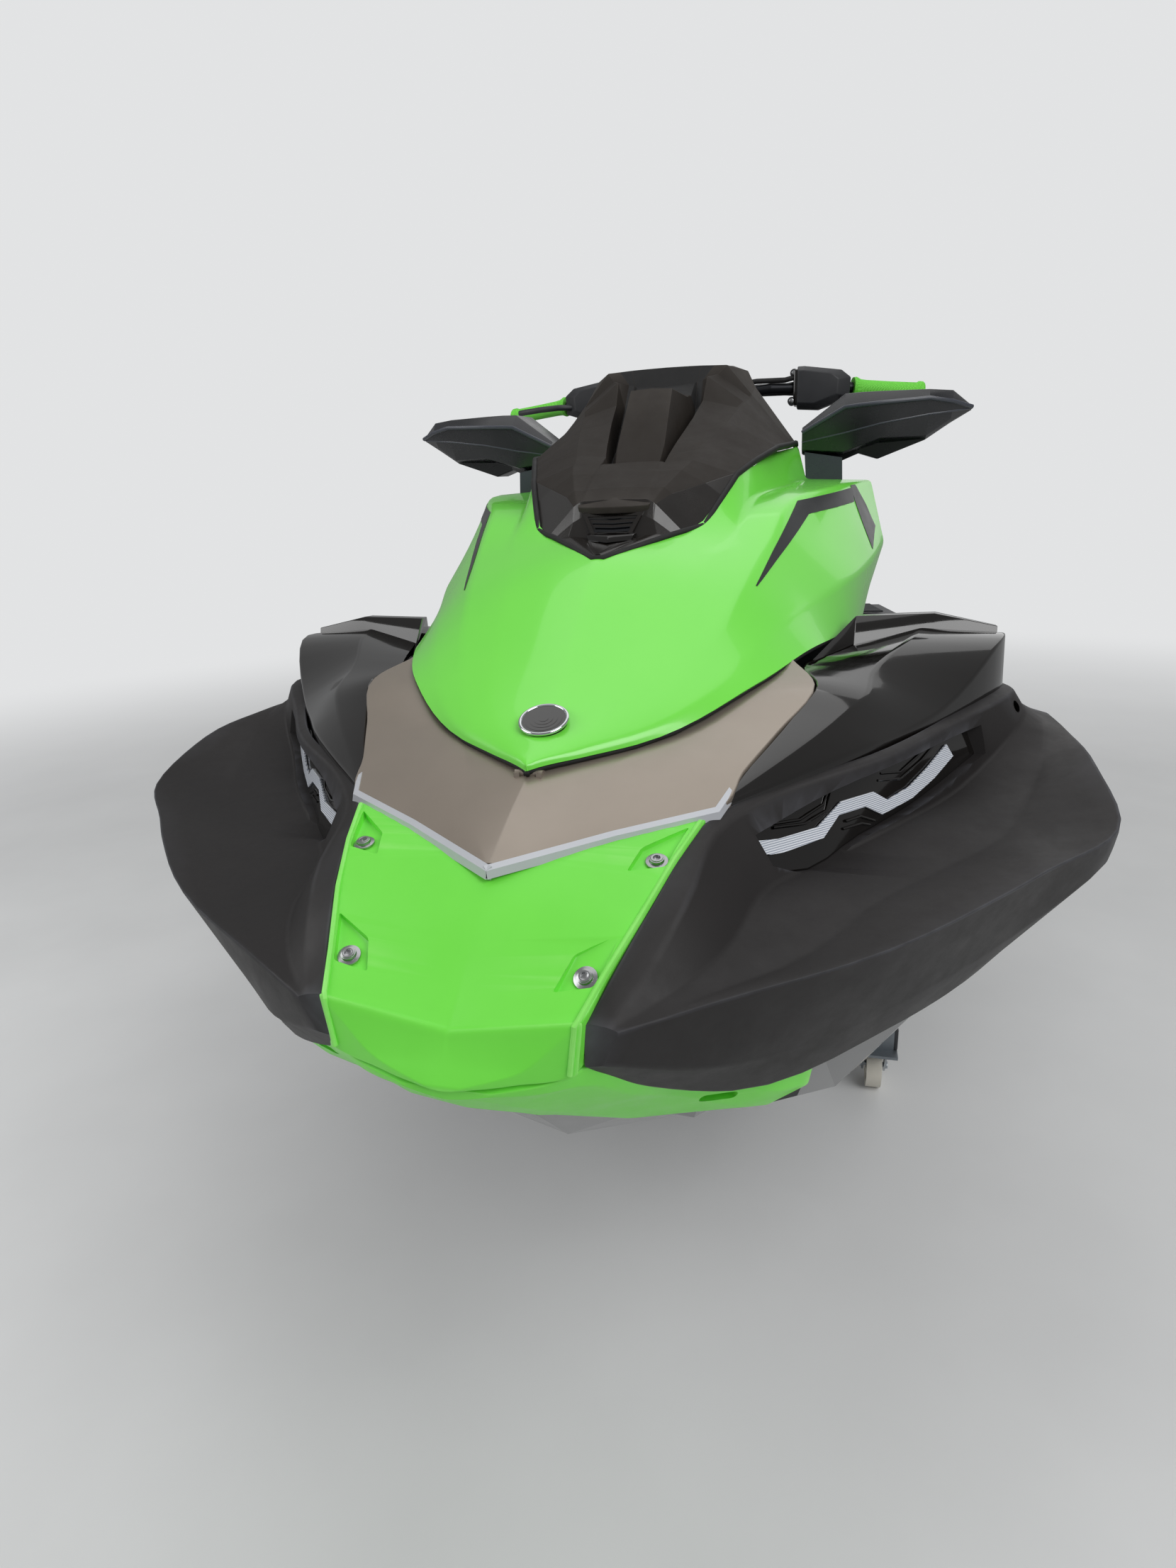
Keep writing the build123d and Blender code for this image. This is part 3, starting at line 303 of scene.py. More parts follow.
# dark clear plastic: what lies behind shows faintly
lens_smoked = finish("Smoked clear lens", "#15171C", "#1A1D23", (0.04, 0.1), (300, 0.01),
                     Transmission_Weight=0.35, Coat_Weight=0.4)
print("finishes with the patterned ones:", len(bpy.data.materials))


# %% [markdown]
# ## Surfaces from sections
# Body panels are drawn as a boat builder lofts them: a row of sections along the length, each a
# half outline in millimetres from one edge to the other. Between two drawn sections more are
# added on smooth lines, and every corner of a section is rounded a little, so a crease catches
# the light. A grid primitive then gets one row of vertices per section.

# %% Sections
SIDES = ((1, "port"), (-1, "starboard"))


def between(rows, steps):
    """Extra sections on smooth lines between the drawn ones, from aft to forward."""
    rows = sorted(rows, key=lambda row: row[0])
    xs = np.array([row[0] for row in rows], float)
    drawn = np.array([row[1] for row in rows], float)
    gap = np.diff(xs)[:, None, None]
    rise = np.diff(drawn, axis=0) / gap
    middle = (rise[:-1] * gap[1:] + rise[1:] * gap[:-1]) / (gap[1:] + gap[:-1])
    lean = np.concatenate([rise[:1], middle, rise[-1:]])
    found = []
    for i in range(len(xs) - 1):
        for t in np.arange(steps) / steps:
            held = ((1 + 2 * t) * (1 - t) ** 2 * drawn[i] + t * t * (3 - 2 * t) * drawn[i + 1]
                    + gap[i] * (t * (1 - t) ** 2 * lean[i] - t * t * (1 - t) * lean[i + 1]))
            found.append((xs[i] + t * (xs[i + 1] - xs[i]), held))
    found.append((xs[-1], drawn[-1]))
    return found


def rounded(points, radius, closed):
    """Each corner of a section replaced by a short curve."""
    points = [Vector(p) for p in points]
    out = []
    for i, corner in enumerate(points):
        if not closed and i in (0, len(points) - 1):
            out.append(corner)
            continue
        before, after = points[i - 1] - corner, points[(i + 1) % len(points)] - corner
        a = corner + before * min(1, radius / max(before.length, 1e-9)) * 0.5
        b = corner + after * min(1, radius / max(after.length, 1e-9)) * 0.5
        out += [a * (1 - t) ** 2 + corner * 2 * t * (1 - t) + b * t * t for t in (0, 0.33, 0.67, 1)]
    return out


# %% [markdown]
# Rings of points, all with the same number of points, become a sheet or a closed solid.

# %% Sheets and solids from rings
def metres(points, sign=1):
    """Points in millimetres as vectors in metres, mirrored for the starboard side."""
    return [Vector((x, sign * y, z)) / 1000 for x, y, z in points]


def drape(name, rings, closed):
    """A grid primitive with its rows of vertices placed on the rings; closed makes it a solid."""
    width = len(rings[0]) + (1 if closed else 0)
    bpy.ops.mesh.primitive_grid_add(x_subdivisions=width - 1, y_subdivisions=len(rings) - 1, size=1)
    piece = bpy.context.object
    piece.name = name
    for i, vertex in enumerate(piece.data.vertices):
        ring = rings[i // width]
        vertex.co = ring[i % width % len(ring)]
    if closed:
        bpy.ops.object.mode_set(mode="EDIT")
        bpy.ops.mesh.select_all(action="SELECT")
        bpy.ops.mesh.remove_doubles(threshold=0.00002)
        bpy.ops.mesh.fill_holes(sides=0)
        bpy.ops.mesh.select_all(action="SELECT")
        bpy.ops.mesh.normals_make_consistent(inside=False)
        bpy.ops.object.mode_set(mode="OBJECT")
    return piece


def skin(name, rows, steps=5, radius=7.0, closed=True, sign=0):
    """A piece from half sections: sign 0 mirrors them about the middle, 1 is port, -1 starboard."""
    rings = []
    for x, half in between(rows, steps):
        if sign:
            outline = [(sign * y, z) for y, z in (half if sign > 0 else half[::-1])]
        else:
            outline = [tuple(p) for p in half] + [(-y, z) for y, z in half[::-1] if y > 0]
        rings.append(metres((x, y, z) for y, z in rounded(outline, radius, closed)))
    return drape(name, rings, closed)


# %% [markdown]
# ## Small helpers for finished pieces
# A piece that is ready gets its material, its body to ride on and the CAD nodes it stands for.
# Modifiers are always applied, and turned copies get their place in the mesh, so every finished
# object sits at the origin.

# %% Helpers for finishing pieces
def only(piece):
    bpy.ops.object.select_all(action="DESELECT")
    piece.select_set(True)
    bpy.context.view_layer.objects.active = piece


def modify(piece, kind, **settings):
    only(piece)
    modifier = piece.modifiers.new(kind.lower(), kind)
    for setting, value in settings.items():
        setattr(modifier, setting, value)
    bpy.ops.object.modifier_apply(modifier=modifier.name)
    return piece


def done(piece, material, body, stands_for=(), smooth=38):
    only(piece)
    bpy.ops.object.transform_apply(location=True, rotation=True, scale=True)
    bpy.ops.object.shade_smooth_by_angle(angle=math.radians(smooth))
    if material:
        piece.data.materials.clear()
        piece.data.materials.append(material)
    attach(piece, body)
    if stands_for:
        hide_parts(*stands_for)
    return piece


def placed(piece, name, spot):
    """A copy with its own mesh, its place and turn written into the mesh."""
    copy = piece.copy()
    copy.data = piece.data.copy()
    copy.name = name
    bpy.context.scene.collection.objects.link(copy)
    copy.data.transform(spot)
    return copy


# %% [markdown]
# Strands, rounded blocks and cylinders are made in millimetres. `facing` gives a place whose own
# Z looks along a direction, and `cast` finds where a line meets another piece's skin.

# %% Simple shapes
def cord(name, points, radius, sides=10):
    """A round strand through points in millimetres, closed at both ends."""
    path = [Vector(point) / 1000 for point in points]
    rings = []
    for i, spot in enumerate(path):
        along = path[min(i + 1, len(path) - 1)] - path[max(i - 1, 0)]
        turn = along.to_track_quat("Z", "Y").to_matrix()
        rings.append([spot + turn @ Vector((math.cos(a), math.sin(a), 0)) * radius / 1000
                      for a in (2 * math.pi * k / sides for k in range(sides))])
    return drape(name, rings, True)


def cast(carrier, start, way):
    """Where a line from start meets the carrier, in metres, and the skin's direction there."""
    hit, place, normal, _ = carrier.ray_cast(Vector(start), Vector(way))
    return (place, normal) if hit else (None, None)


def soft_block(name, size, width, segments=3, spot=None):
    """A cube of a size in millimetres with all its edges rounded."""
    bpy.ops.mesh.primitive_cube_add(size=1)
    piece = bpy.context.object
    piece.name = name
    piece.data.transform(Matrix.Diagonal((*[side / 1000 for side in size], 1)))
    modify(piece, "BEVEL", width=width / 1000, segments=segments)
    if spot:
        piece.data.transform(spot)
    return piece


def drum(name, radius, depth, sides=40, spot=None):
    """A cylinder in millimetres along its own Z."""
    bpy.ops.mesh.primitive_cylinder_add(vertices=sides, radius=radius / 1000, depth=depth / 1000)
    piece = bpy.context.object
    piece.name = name
    if spot:
        piece.data.transform(spot)
    return piece


def facing(point, normal, spin=0.0):
    """A place at point whose own Z looks along normal."""
    turn = Vector(normal).to_track_quat("Z", "Y").to_matrix().to_4x4()
    return Matrix.Translation(point) @ turn @ Matrix.Rotation(spin, 4, "Z")


# %% [markdown]
# Openings are cut with a tool that is used up. Raised or sunken details grow from chosen faces,
# and hard edges get a narrow rounding.

# %% Cuts, steps and edges
def cut(piece, tool):
    modify(piece, "BOOLEAN", object=tool, operation="DIFFERENCE", solver="EXACT")
    bpy.data.objects.remove(tool)
    return piece


def soften(piece, width, segments=2, angle=0.7):
    """Edges sharper than the angle are rounded by a width in metres."""
    return modify(piece, "BEVEL", width=width, segments=segments, limit_method="ANGLE", angle_limit=angle)


def pick(piece, test):
    """Edit mode with only the faces chosen that pass the test of centre and normal."""
    only(piece)
    bpy.ops.object.mode_set(mode="EDIT")
    bpy.ops.mesh.select_mode(type="FACE")
    bpy.ops.mesh.select_all(action="DESELECT")
    bpy.ops.object.mode_set(mode="OBJECT")
    for face in piece.data.polygons:
        face.select = bool(test(face.center, face.normal))
    bpy.ops.object.mode_set(mode="EDIT")


def terrace(*steps, way=(0, 0, 1)):
    """Each step insets the chosen faces and moves them along way, in metres; edit mode then ends."""
    for inset, rise in steps:
        bpy.ops.mesh.inset(thickness=inset)
        bpy.ops.mesh.extrude_region_move(TRANSFORM_OT_translate={"value": Vector(way) * rise})
    bpy.ops.object.mode_set(mode="OBJECT")


# %% [markdown]
# ## Lime green nose: bumper and lower cap
# The bow's two lime mouldings take the knocks of a dock. The upper one is a flat-topped wedge with
# a hard edge to the black fenders and a blunt front face; the lower one wraps under it. They are
# made from sections, as the rest of the body is. The crease above the front face stays crisp
# because two sections lie close together there.

# %% Bumper and cap
# each row: X, height on the middle line, the top edge's Y and Z, the foot's Y and Z
BUMPER = [(1500, 966, 192, 976, 180, 850), (1545, 968, 183, 973, 172, 835), (1604, 962, 167, 957, 158, 835),
          (1661, 935, 150, 932, 142, 836), (1720, 888, 128, 900, 120, 837), (1757, 860, 115.5, 879, 110, 829),
          (1762, 856, 113, 876, 107, 827), (1765, 850, 96, 860, 91, 823), (1771, 839, 72, 838, 67, 821),
          (1778, 827, 44, 827, 40, 818), (1783, 819, 16, 819, 12, 815)]
CAP = [(1560, [(0, 622), (130, 648), (250, 674), (290, 705), (298, 749), (0, 749)]),
       (1600, [(0, 655), (120, 668), (225, 698), (262, 722), (275, 769), (0, 769)]),
       (1650, [(0, 695), (95, 706), (178, 740), (200, 760), (222, 804), (0, 804)]),
       (1700, [(0, 735), (68, 743), (140, 772), (155, 785), (172, 825), (0, 825)]),
       (1745, [(0, 772), (48, 779), (108, 808), (114, 818), (120, 831), (0, 831)]),
       (1766, [(0, 792), (30, 797), (68, 808), (74, 813), (80, 819), (0, 819)]),
       (1776, [(0, 802), (15, 804), (36, 809), (39, 811), (42, 813), (0, 813)])]
bumper = skin("bumper_skin", [(x, [(0, foot_z), (foot_y, foot_z + 1), (top_y, top_z), (0, middle)])
                              for x, middle, top_y, top_z, foot_y, foot_z in BUMPER], radius=6)
cap = skin("lower_cap_skin", CAP, radius=7)
print("bumper and cap:", len(bumper.data.polygons) + len(cap.data.polygons), "faces")

# %% [markdown]
# Each of the four screws sits in a moulded pocket with four uneven sides, close to the bumper's
# outer edge. It is cut by a four-sided cylinder whose corners are placed on the pocket's outline,
# level with the skin under the screw.

# %% Screw pockets
POCKET_DEPTH = 0.0058
CUTTER_TOP = 0.014
SCREWS = [(1604, 148, ((1623, 124), (1592, 132), (1556, 171), (1613, 158))),
          (1721, 108, ((1733, 84), (1705, 95), (1686, 133), (1729, 118)))]


def under(carrier, x, y):
    """The carrier's skin straight below X and Y in millimetres: its place and direction."""
    return cast(carrier, (x / 1000, y / 1000, 1.3), (0, 0, -1))


seats = [(x, sign * y, *under(bumper, x, sign * y), corners) for x, y, corners in SCREWS for sign in (1, -1)]
for x, y, place, normal, corners in seats:
    bpy.ops.mesh.primitive_cylinder_add(vertices=4, radius=1, depth=1)
    cutter = bpy.context.object
    side = 1 if y > 0 else -1
    for number, (corner_x, corner_y) in enumerate(corners[::-side]):
        along = Vector((corner_x - x, side * corner_y - y, 0)) / 1000
        along.z = -(along.x * normal.x + along.y * normal.y) / normal.z
        cutter.data.vertices[2 * number].co = place + along - normal * POCKET_DEPTH
        cutter.data.vertices[2 * number + 1].co = place + along + normal * CUTTER_TOP
    only(cutter)
    bpy.ops.object.mode_set(mode="EDIT")
    bpy.ops.mesh.select_all(action="SELECT")
    bpy.ops.mesh.normals_make_consistent(inside=False)
    bpy.ops.object.mode_set(mode="OBJECT")
    modify(cutter, "BEVEL", width=0.003, segments=2)
    cut(bumper, cutter)
done(bumper, green_moulded, "craft", ["nose_bumper"])
print("pockets cut:", len(seats))

# %% [markdown]
# A thin raised rib runs along each edge of the bumper and down the corner of its front face. It
# repeats the drawn edge, a little inside it. The lower cap has a drain slot on each side.

# %% Edge ribs and drain slots
for sign, hand in SIDES:
    edge = [(x, sign * (top_y - 3), top_z + 0.4) for x, _, top_y, top_z, _, _ in BUMPER[1:7]]
    rib = cord(f"bumper_rib_{hand}", edge + [(1764, sign * 105, 832)], 2.6, 8)
    done(rib, green_moulded, "craft")
for sign in (1, -1):
    spot = Matrix.Translation((1.628, sign * 0.209, 0.727)) @ Matrix.Rotation(sign * -0.91, 4, "Z")
    cut(cap, soft_block("slot_tool", (36, 60, 12), 5, spot=spot))
done(cap, green_moulded, "craft", ["bow_cap"])
print("ribs and slots: 2 of each")

# %% [markdown]
# A screw here is a stainless pan head on a wide washer. One is turned from a cylinder, which is the
# washer: two insets of its top face are raised for the head, and a third is sunk for the socket.

# %% Screws
bpy.ops.mesh.primitive_cylinder_add(vertices=36, radius=0.0105, depth=0.002, location=(0, 0, 0.001))
screw = bpy.context.object
pick(screw, lambda centre, normal: normal.z > 0.9)
terrace((0.0036, 0.0032), (0.0012, 0.0009), (0.0024, -0.0028))
soften(screw, 0.0004, angle=0.5)
for x, y, place, normal, _ in seats:
    name = f"screw_{'port' if y > 0 else 'starboard'}_{x}"
    done(placed(screw, name, facing(place - normal * 0.0052, normal, x)), stainless, "craft")
bpy.data.objects.remove(screw)
print("screws:", len(seats))

# %% [markdown]
# ## Champagne panel
# Between bumper and hood lies one metallic panel, folded along its middle and cut to a point at
# the bow. Its front lip is painted pale, as a highlight along its edge.

# %% Champagne panel
PANEL = [(1240, [(0, 955), (245, 955), (251, 1078), (200, 1068), (0, 1055)]),
         (1305, [(0, 955), (276, 955), (279, 1061), (207, 1058), (0, 1048)]),
         (1400, [(0, 950), (240, 950), (243, 1027), (131, 1027), (0, 1028)]),
         (1470, [(0, 940), (212, 940), (214, 1003), (90, 1011.7), (0, 1018)]),
         (1527, [(0, 930), (191, 930), (193, 981), (60, 996.2), (0, 1003)]),
         (1580, [(0, 930), (100, 930), (103, 971), (40, 979), (0, 984)]),
         (1641, [(0, 930), (8, 930), (9, 957), (4, 958), (0, 958)])]
panel = skin("champagne_panel", PANEL, radius=3)
done(panel, champagne, "craft", ["deck_panel"])
rim = [(1648, -3, 956), (1580, 103, 971), (1527, 193, 981), (1497, 203, 992)]
for sign, hand in SIDES:
    folds = [metres([(x + out, y + out, z + up) for out, up in ((-1, 1), (3, -2), (4, -9), (0, -11))], sign)
             for x, y, z in rim]
    lip = drape(f"panel_lip_{hand}", folds, False)
    modify(lip, "SOLIDIFY", thickness=0.0015, offset=0)
    # the lip's pale colour is a painted highlight
    done(lip, panel_lip_highlight, "craft")
print("panel faces:", len(panel.data.polygons))

# %% [markdown]
# ## Fenders and shoulders
# The fenders flare from the nose to the widest point of the craft. A rail with a chamfered top
# runs along the shoulder, and under it the long light pocket is sunk. Port and starboard are the
# same sections, mirrored.

# %% Fender sections
FENDER = [(1752, [(116, 874), (134, 872), (138, 870.5), (141, 869.5), (144, 868), (131, 836), (116, 833)]),
          (1708, [(133, 905), (158, 897), (178, 880), (198, 879), (222, 881), (200, 812), (150, 790)]),
          (1650, [(153, 937), (180, 932), (212, 888), (265, 884), (322, 893), (262, 795), (225, 752)]),
          (1528, [(190, 975), (207, 970), (247, 903), (350, 898), (457, 910), (405, 812), (365, 757)]),
          (1469, [(235, 985), (252, 981), (287, 903), (400, 902), (508, 915), (465, 825), (425, 768)]),
          (1367, [(340, 997), (357, 993), (372, 915), (480, 908), (594, 924), (586, 885), (495, 782)]),
          (1250, [(420, 1007), (438, 1003), (452, 925), (532, 934), (597, 960), (597, 892), (540, 808)]),
          (1100, [(495, 1018), (528, 1015), (545, 985), (570, 970), (597, 965), (597, 890), (550, 832)]),
          (1002, [(495, 1012), (527, 1008), (545, 985), (570, 970), (597, 962), (597, 862), (579, 838)])]
POCKET = [(1512, (212, 948), (238, 917)), (1490, (230, 952), (267, 904)), (1400, (318, 975), (342, 915)),
          (1300, (398, 985), (412, 928)), (1200, (468, 990), (482, 955))]
# how far the pocket drops for each millimetre inward
TILT = 0.13


def pocket(front, back):
    """Sections of a solid that fills the pocket, from so far behind its face to so far in front."""
    return [(x, [(top_y - back, top_z - back * TILT), (foot_y - back, foot_z - back * TILT),
                 (foot_y + front, foot_z + front * TILT), (top_y + front, top_z + front * TILT)])
            for x, (top_y, top_z), (foot_y, foot_z) in POCKET]


for sign, hand in SIDES:
    fender = skin(f"fender_{hand}", [(x, [(p[0][0] - 2, p[6][1]), *p[::-1]]) for x, p in FENDER],
                  radius=9, sign=sign)
    cut(fender, skin("pocket_tool", pocket(front=40, back=21), steps=4, radius=4, sign=sign))
    spot = facing(Vector((1.113, sign * 0.529, 0.994)), (0.75, sign * 0.35, 0.5))
    cut(fender, drum("hole_tool", 8, 60, 24, spot))
    done(fender, fender_plastic, "craft", ["fenders"] if sign > 0 else ())
print("fenders ready")

# %% [markdown]
# ## Bow lights
# In each pocket sits a glossy black housing. A white ribbed strip runs through it in a zig-zag, with
# fine steps of dark plastic on both sides. Places on the light are given as X and as a share of the
# way from the pocket's foot to its top.

# %% Bow lights
def in_pocket(x, share, depth, sign):
    """A point of the light's sloping face, so many millimetres behind the fender's skin."""
    rows = sorted(POCKET)
    xs = [row[0] for row in rows]
    top = [np.interp(x, xs, [row[1][k] for row in rows]) for k in (0, 1)]
    foot = [np.interp(x, xs, [row[2][k] for row in rows]) for k in (0, 1)]
    y = foot[0] + (top[0] - foot[0]) * share - depth
    return (x, sign * y, foot[1] + (top[1] - foot[1]) * share - depth * TILT)


STRIP = [((1507, 0.80), (1506, 0.44)), ((1492, 0.70), (1493, 0.38)), ((1478, 0.60), (1482, 0.34)),
         ((1440, 0.48), (1440, 0.26)), ((1408, 0.70), (1416, 0.50)), ((1368, 0.60), (1384, 0.42)),
         ((1353, 0.34), (1366, 0.14)), ((1318, 0.36), (1318, 0.12)), ((1285, 0.52), (1278, 0.22)),
         ((1246, 0.80), (1240, 0.42))]
STEPS = [[(1478, 0.9), (1450, 0.72), (1424, 0.78), (1416, 0.92)],
         [(1474, 0.8), (1448, 0.62), (1424, 0.66), (1412, 0.92)],
         [(1410, 0.34), (1392, 0.30), (1376, 0.10)], [(1416, 0.24), (1394, 0.18), (1384, 0.08)],
         [(1356, 0.74), (1326, 0.58), (1290, 0.72), (1262, 0.92)],
         [(1350, 0.84), (1324, 0.70), (1294, 0.84), (1280, 0.95)]]
for sign, hand in SIDES:
    housing = skin(f"light_housing_{hand}", pocket(front=-9, back=21), steps=4, radius=5, sign=sign)
    done(housing, black_lacquer, "craft", ["bow_lights"] if sign > 0 else ())
    rows = [[Vector(in_pocket(upper_x + (lower_x - upper_x) * t, upper + (lower - upper) * t, 6, sign)) / 1000
             for t in (0, 0.25, 0.5, 0.75, 1)] for (upper_x, upper), (lower_x, lower) in STRIP]
    strip = drape(f"light_strip_{hand}", rows, False)
    modify(strip, "SOLIDIFY", thickness=0.003, offset=0)
    soften(strip, 0.0006, angle=0.9)
    done(strip, light_strip, "craft", smooth=20)
    for number, line in enumerate(STEPS):
        points = [in_pocket(x, share, 7.5, sign) for x, share in line]
        rib = cord(f"light_step_{hand}_{number}", points, 1.6, 6)
        done(rib, black_lacquer, "craft", smooth=20)
print("light pieces:", 2 * (2 + len(STEPS)))

# %% [markdown]
# The shoulders between hood and fender are lacquered black and mirror the room. A dark duct
# opens behind the hood's widest point.

# %% Shoulders
SHOULDER = [(1515, [(192, 984), (194, 984), (198, 982), (198, 940)]),
            (1367, [(258, 1038), (300, 1030), (338, 1006), (340, 940)]),
            (1305, [(281, 1060), (335, 1046), (382, 1008), (385, 940)]),
            (1240, [(262, 1068), (345, 1062), (428, 1020), (430, 940)]),
            (1100, [(305, 1066), (400, 1086), (508, 1080), (515, 940)]),
            (950, [(335, 1060), (430, 1084), (528, 1064), (530, 940)]),
            (760, [(350, 1050), (420, 1052), (505, 1012), (508, 940)]),
            (585, [(356, 1044), (405, 1034), (482, 985), (490, 925)]),
            (470, [(322, 1000), (370, 990), (440, 950), (455, 920)])]
DUCT = [(1228, [(268, 1066), (274, 1066), (274, 1120), (268, 1120)]),
        (930, [(340, 1048), (378, 1048), (378, 1120), (340, 1120)])]
SCOOP = [[(1215, 270, 1062), (1213, 268, 1066), (1209, 270, 1066), (1209, 272, 1060)],
         [(1068, 326, 1064), (1040, 328, 1104), (1004, 336, 1102), (990, 340, 1050)],
         [(1052, 430, 1080), (1030, 432, 1106), (996, 436, 1104), (982, 440, 1060)],
         [(1040, 512, 1070), (1034, 513, 1089), (1010, 515, 1087), (1002, 516, 1060)]]
for sign, hand in SIDES:
    shoulder = skin(f"shoulder_{hand}", [(x, [(p[0][0], p[3][1]), *p[::-1]]) for x, p in SHOULDER],
                    radius=8, sign=sign)
    cut(shoulder, skin("duct_tool", DUCT, radius=2, sign=sign))
    done(shoulder, black_lacquer, "craft", ["shoulders"] if sign > 0 else ())
    # the scoop's raised rear wall: a wedge that thins out toward the fender's rail
    wall = drape(f"scoop_wall_{hand}", [metres(ring, sign) for ring in SCOOP], True)
    soften(wall, 0.002, angle=0.4)
    done(wall, black_lacquer, "craft", smooth=30)
print("shoulders ready")

# %% [markdown]
# ## Hood
# The lime hood is a thin shell that lifts about a pin at its tip. Its sections run from lip to
# lip over a crease that fades toward the nose, and `solidify` gives the sheet its thickness. The
# cowl lies in an opening of the hood, so the cowl's outline is drawn here too and cut out of it.

# %% Hood shell
HOOD = [(1525.6, [(0.6, 1011), (0.5, 1013), (0.4, 1015), (0.3, 1016), (0.15, 1016.8), (0, 1017)]),
        (1522, [(5, 1012), (4.6, 1015), (3.8, 1017), (2.6, 1018), (1.2, 1018.6), (0, 1018.8)]),
        (1486, [(52.5, 1017), (50.8, 1022.5), (41.9, 1027.5), (31.3, 1030.5), (15.6, 1032.3), (0, 1033.9)]),
        (1450, [(100, 1022), (97, 1030), (80, 1038), (60, 1043), (30, 1046), (0, 1049)]),
        (1320, [(213, 1062), (186, 1077), (147, 1094), (100, 1107), (50, 1117), (0, 1124)]),
        (1203, [(266, 1081), (232, 1112), (182, 1150), (120, 1172), (60, 1187), (0, 1198)]),
        (1073, [(302, 1080), (277, 1132), (211, 1205), (160, 1218), (117, 1233), (0, 1246)]),
        (971, [(325, 1078), (312, 1145), (228, 1252), (172, 1256), (153, 1298), (0, 1305)]),
        (780, [(346, 1068), (356, 1160), (300, 1280), (215, 1282), (190, 1332), (0, 1340)]),
        (585, [(352, 1058), (384, 1180), (355, 1288), (242, 1294), (226, 1352), (0, 1360)])]
COWL = [(1196, [(5, 1199), (4.5, 1202), (4, 1203), (3.4, 1204), (2.6, 1205), (1.6, 1205.5), (0, 1206)]),
        (1112, [(77, 1221), (60, 1224), (44, 1223), (38, 1222), (34, 1221), (20, 1220), (0, 1219)]),
        (1104, [(84, 1223), (54, 1244), (47, 1248), (44, 1249), (34, 1250), (18, 1252), (0, 1252)]),
        (1094, [(95, 1226), (54, 1266), (48, 1269), (44, 1270), (34, 1270), (18, 1271), (0, 1271)]),
        (1064, [(119, 1232), (64, 1280), (50, 1284), (44, 1286), (38, 1286), (20, 1287), (0, 1287)]),
        (1010, [(139, 1270), (80, 1303), (50, 1307), (44, 1308), (39, 1308), (27, 1308), (0, 1308)]),
        (968, [(154, 1299), (90, 1317), (50, 1320), (45, 1322), (40, 1322), (34, 1322), (0, 1323)]),
        (928, [(165, 1310), (95, 1333), (49, 1334), (47, 1318), (40, 1318), (34, 1324), (0, 1323)]),
        (898, [(174, 1319), (102, 1345), (54, 1350), (51, 1318), (43, 1319), (37, 1351), (0, 1354)]),
        (804, [(202, 1341), (121, 1378), (67, 1392), (62, 1345), (48, 1350), (34, 1438), (0, 1440)]),
        (735, [(210, 1346), (132, 1404), (74, 1424), (68, 1385), (58, 1390), (48, 1431), (0, 1439)]),
        (702, [(213, 1348), (139, 1415), (77, 1464), (66, 1420), (57, 1412), (49, 1436), (0, 1442)]),
        (668, [(217, 1351), (146, 1425), (92, 1470), (64, 1462), (56, 1460), (50, 1458), (0, 1456)]),
        (656, [(218, 1352), (148, 1430), (105, 1485), (82, 1486), (62, 1487), (42, 1487.5), (0, 1488)]),
        (597, [(222, 1356), (150, 1452), (136, 1480), (110, 1490), (72, 1493), (42, 1494), (0, 1495)]),
        (585, [(222, 1352), (148, 1446), (132, 1472), (108, 1481), (70, 1484), (40, 1485), (0, 1486)])]
hood = skin("hood_shell", HOOD, steps=7, radius=16, closed=False)
modify(hood, "SOLIDIFY", thickness=0.005, offset=-1)
well = [(560, [(0, 1320), (221, 1344), (221, 1600), (0, 1600)])]
for x, points in COWL[:-1]:
    edge_y, edge_z = points[0]
    well.append((x, [(0, edge_z - 24), (edge_y - 1, edge_z - 8), (edge_y - 1, 1600), (0, 1600)]))
cut(hood, skin("opening_tool", well, steps=1, radius=1))
done(hood, green_lacquer, "hood_lid", ["hood"])
print("hood faces:", len(hood.data.polygons))

# %% [markdown]
# A rubber seal runs round under the hood's lip; its near-black also paints the shadow in the gap
# between lip and panel. On each side a black vinyl stripe is stuck on in two strokes: its points are
# drawn in side view and dropped sideways onto the hood's skin.

# %% Seal and stripes
# the seal's near-black also stands as painted shadow in the gap under the lip
lips = [(x, half[0]) for x, half in between(HOOD, 4)]
seal_line = [(x - 3, y - 3, z - 3) for x, (y, z) in lips]
seal_line += [(x, -y, z) for x, y, z in seal_line[::-1]]
done(cord("hood_seal_and_gap_shade", seal_line, 3.2, 8), black_rubber_and_painted_shade, "hood_lid", smooth=60)
STRIPES = [[((1166, 1159), (1165, 1158)), ((936, 1259), (930, 1240)), ((722, 1276), (740, 1253))],
           [((727, 1279), (700, 1280)), ((735, 1253), (672, 1250)), ((736, 1215), (641, 1210)),
            ((737, 1178), (735, 1176))]]


def on_hood_side(x, z, sign):
    """The hood's skin seen from the side, with room for the thin film."""
    place, normal = cast(hood, (x / 1000, sign * 0.6, z / 1000), (0, -sign, 0))
    return place + normal * 0.0006


for sign, hand in SIDES:
    for number, stroke in enumerate(STRIPES):
        ends = np.array(stroke, float)
        rows = []
        for t in np.linspace(0, len(stroke) - 1, 12 * (len(stroke) - 1) + 1):
            part = min(int(t), len(stroke) - 2)
            first, last = ends[part] + (ends[part + 1] - ends[part]) * (t - part)
            spots = [first + (last - first) * share for share in (0, 0.25, 0.5, 0.75, 1)]
            rows.append([on_hood_side(*spot, sign) for spot in spots])
        stripe = drape(f"stripe_{hand}_{number}", rows, False)
        modify(stripe, "SOLIDIFY", thickness=0.0004, offset=0)
        done(stripe, stripe_black, "hood_lid")
print("stripes:", 2 * len(STRIPES))

# %% [markdown]
# The round badge near the hood's tip is left bare: a domed black disc in a chromed ring. The dome
# is four narrow insets, each raised a quarter of a millimetre.

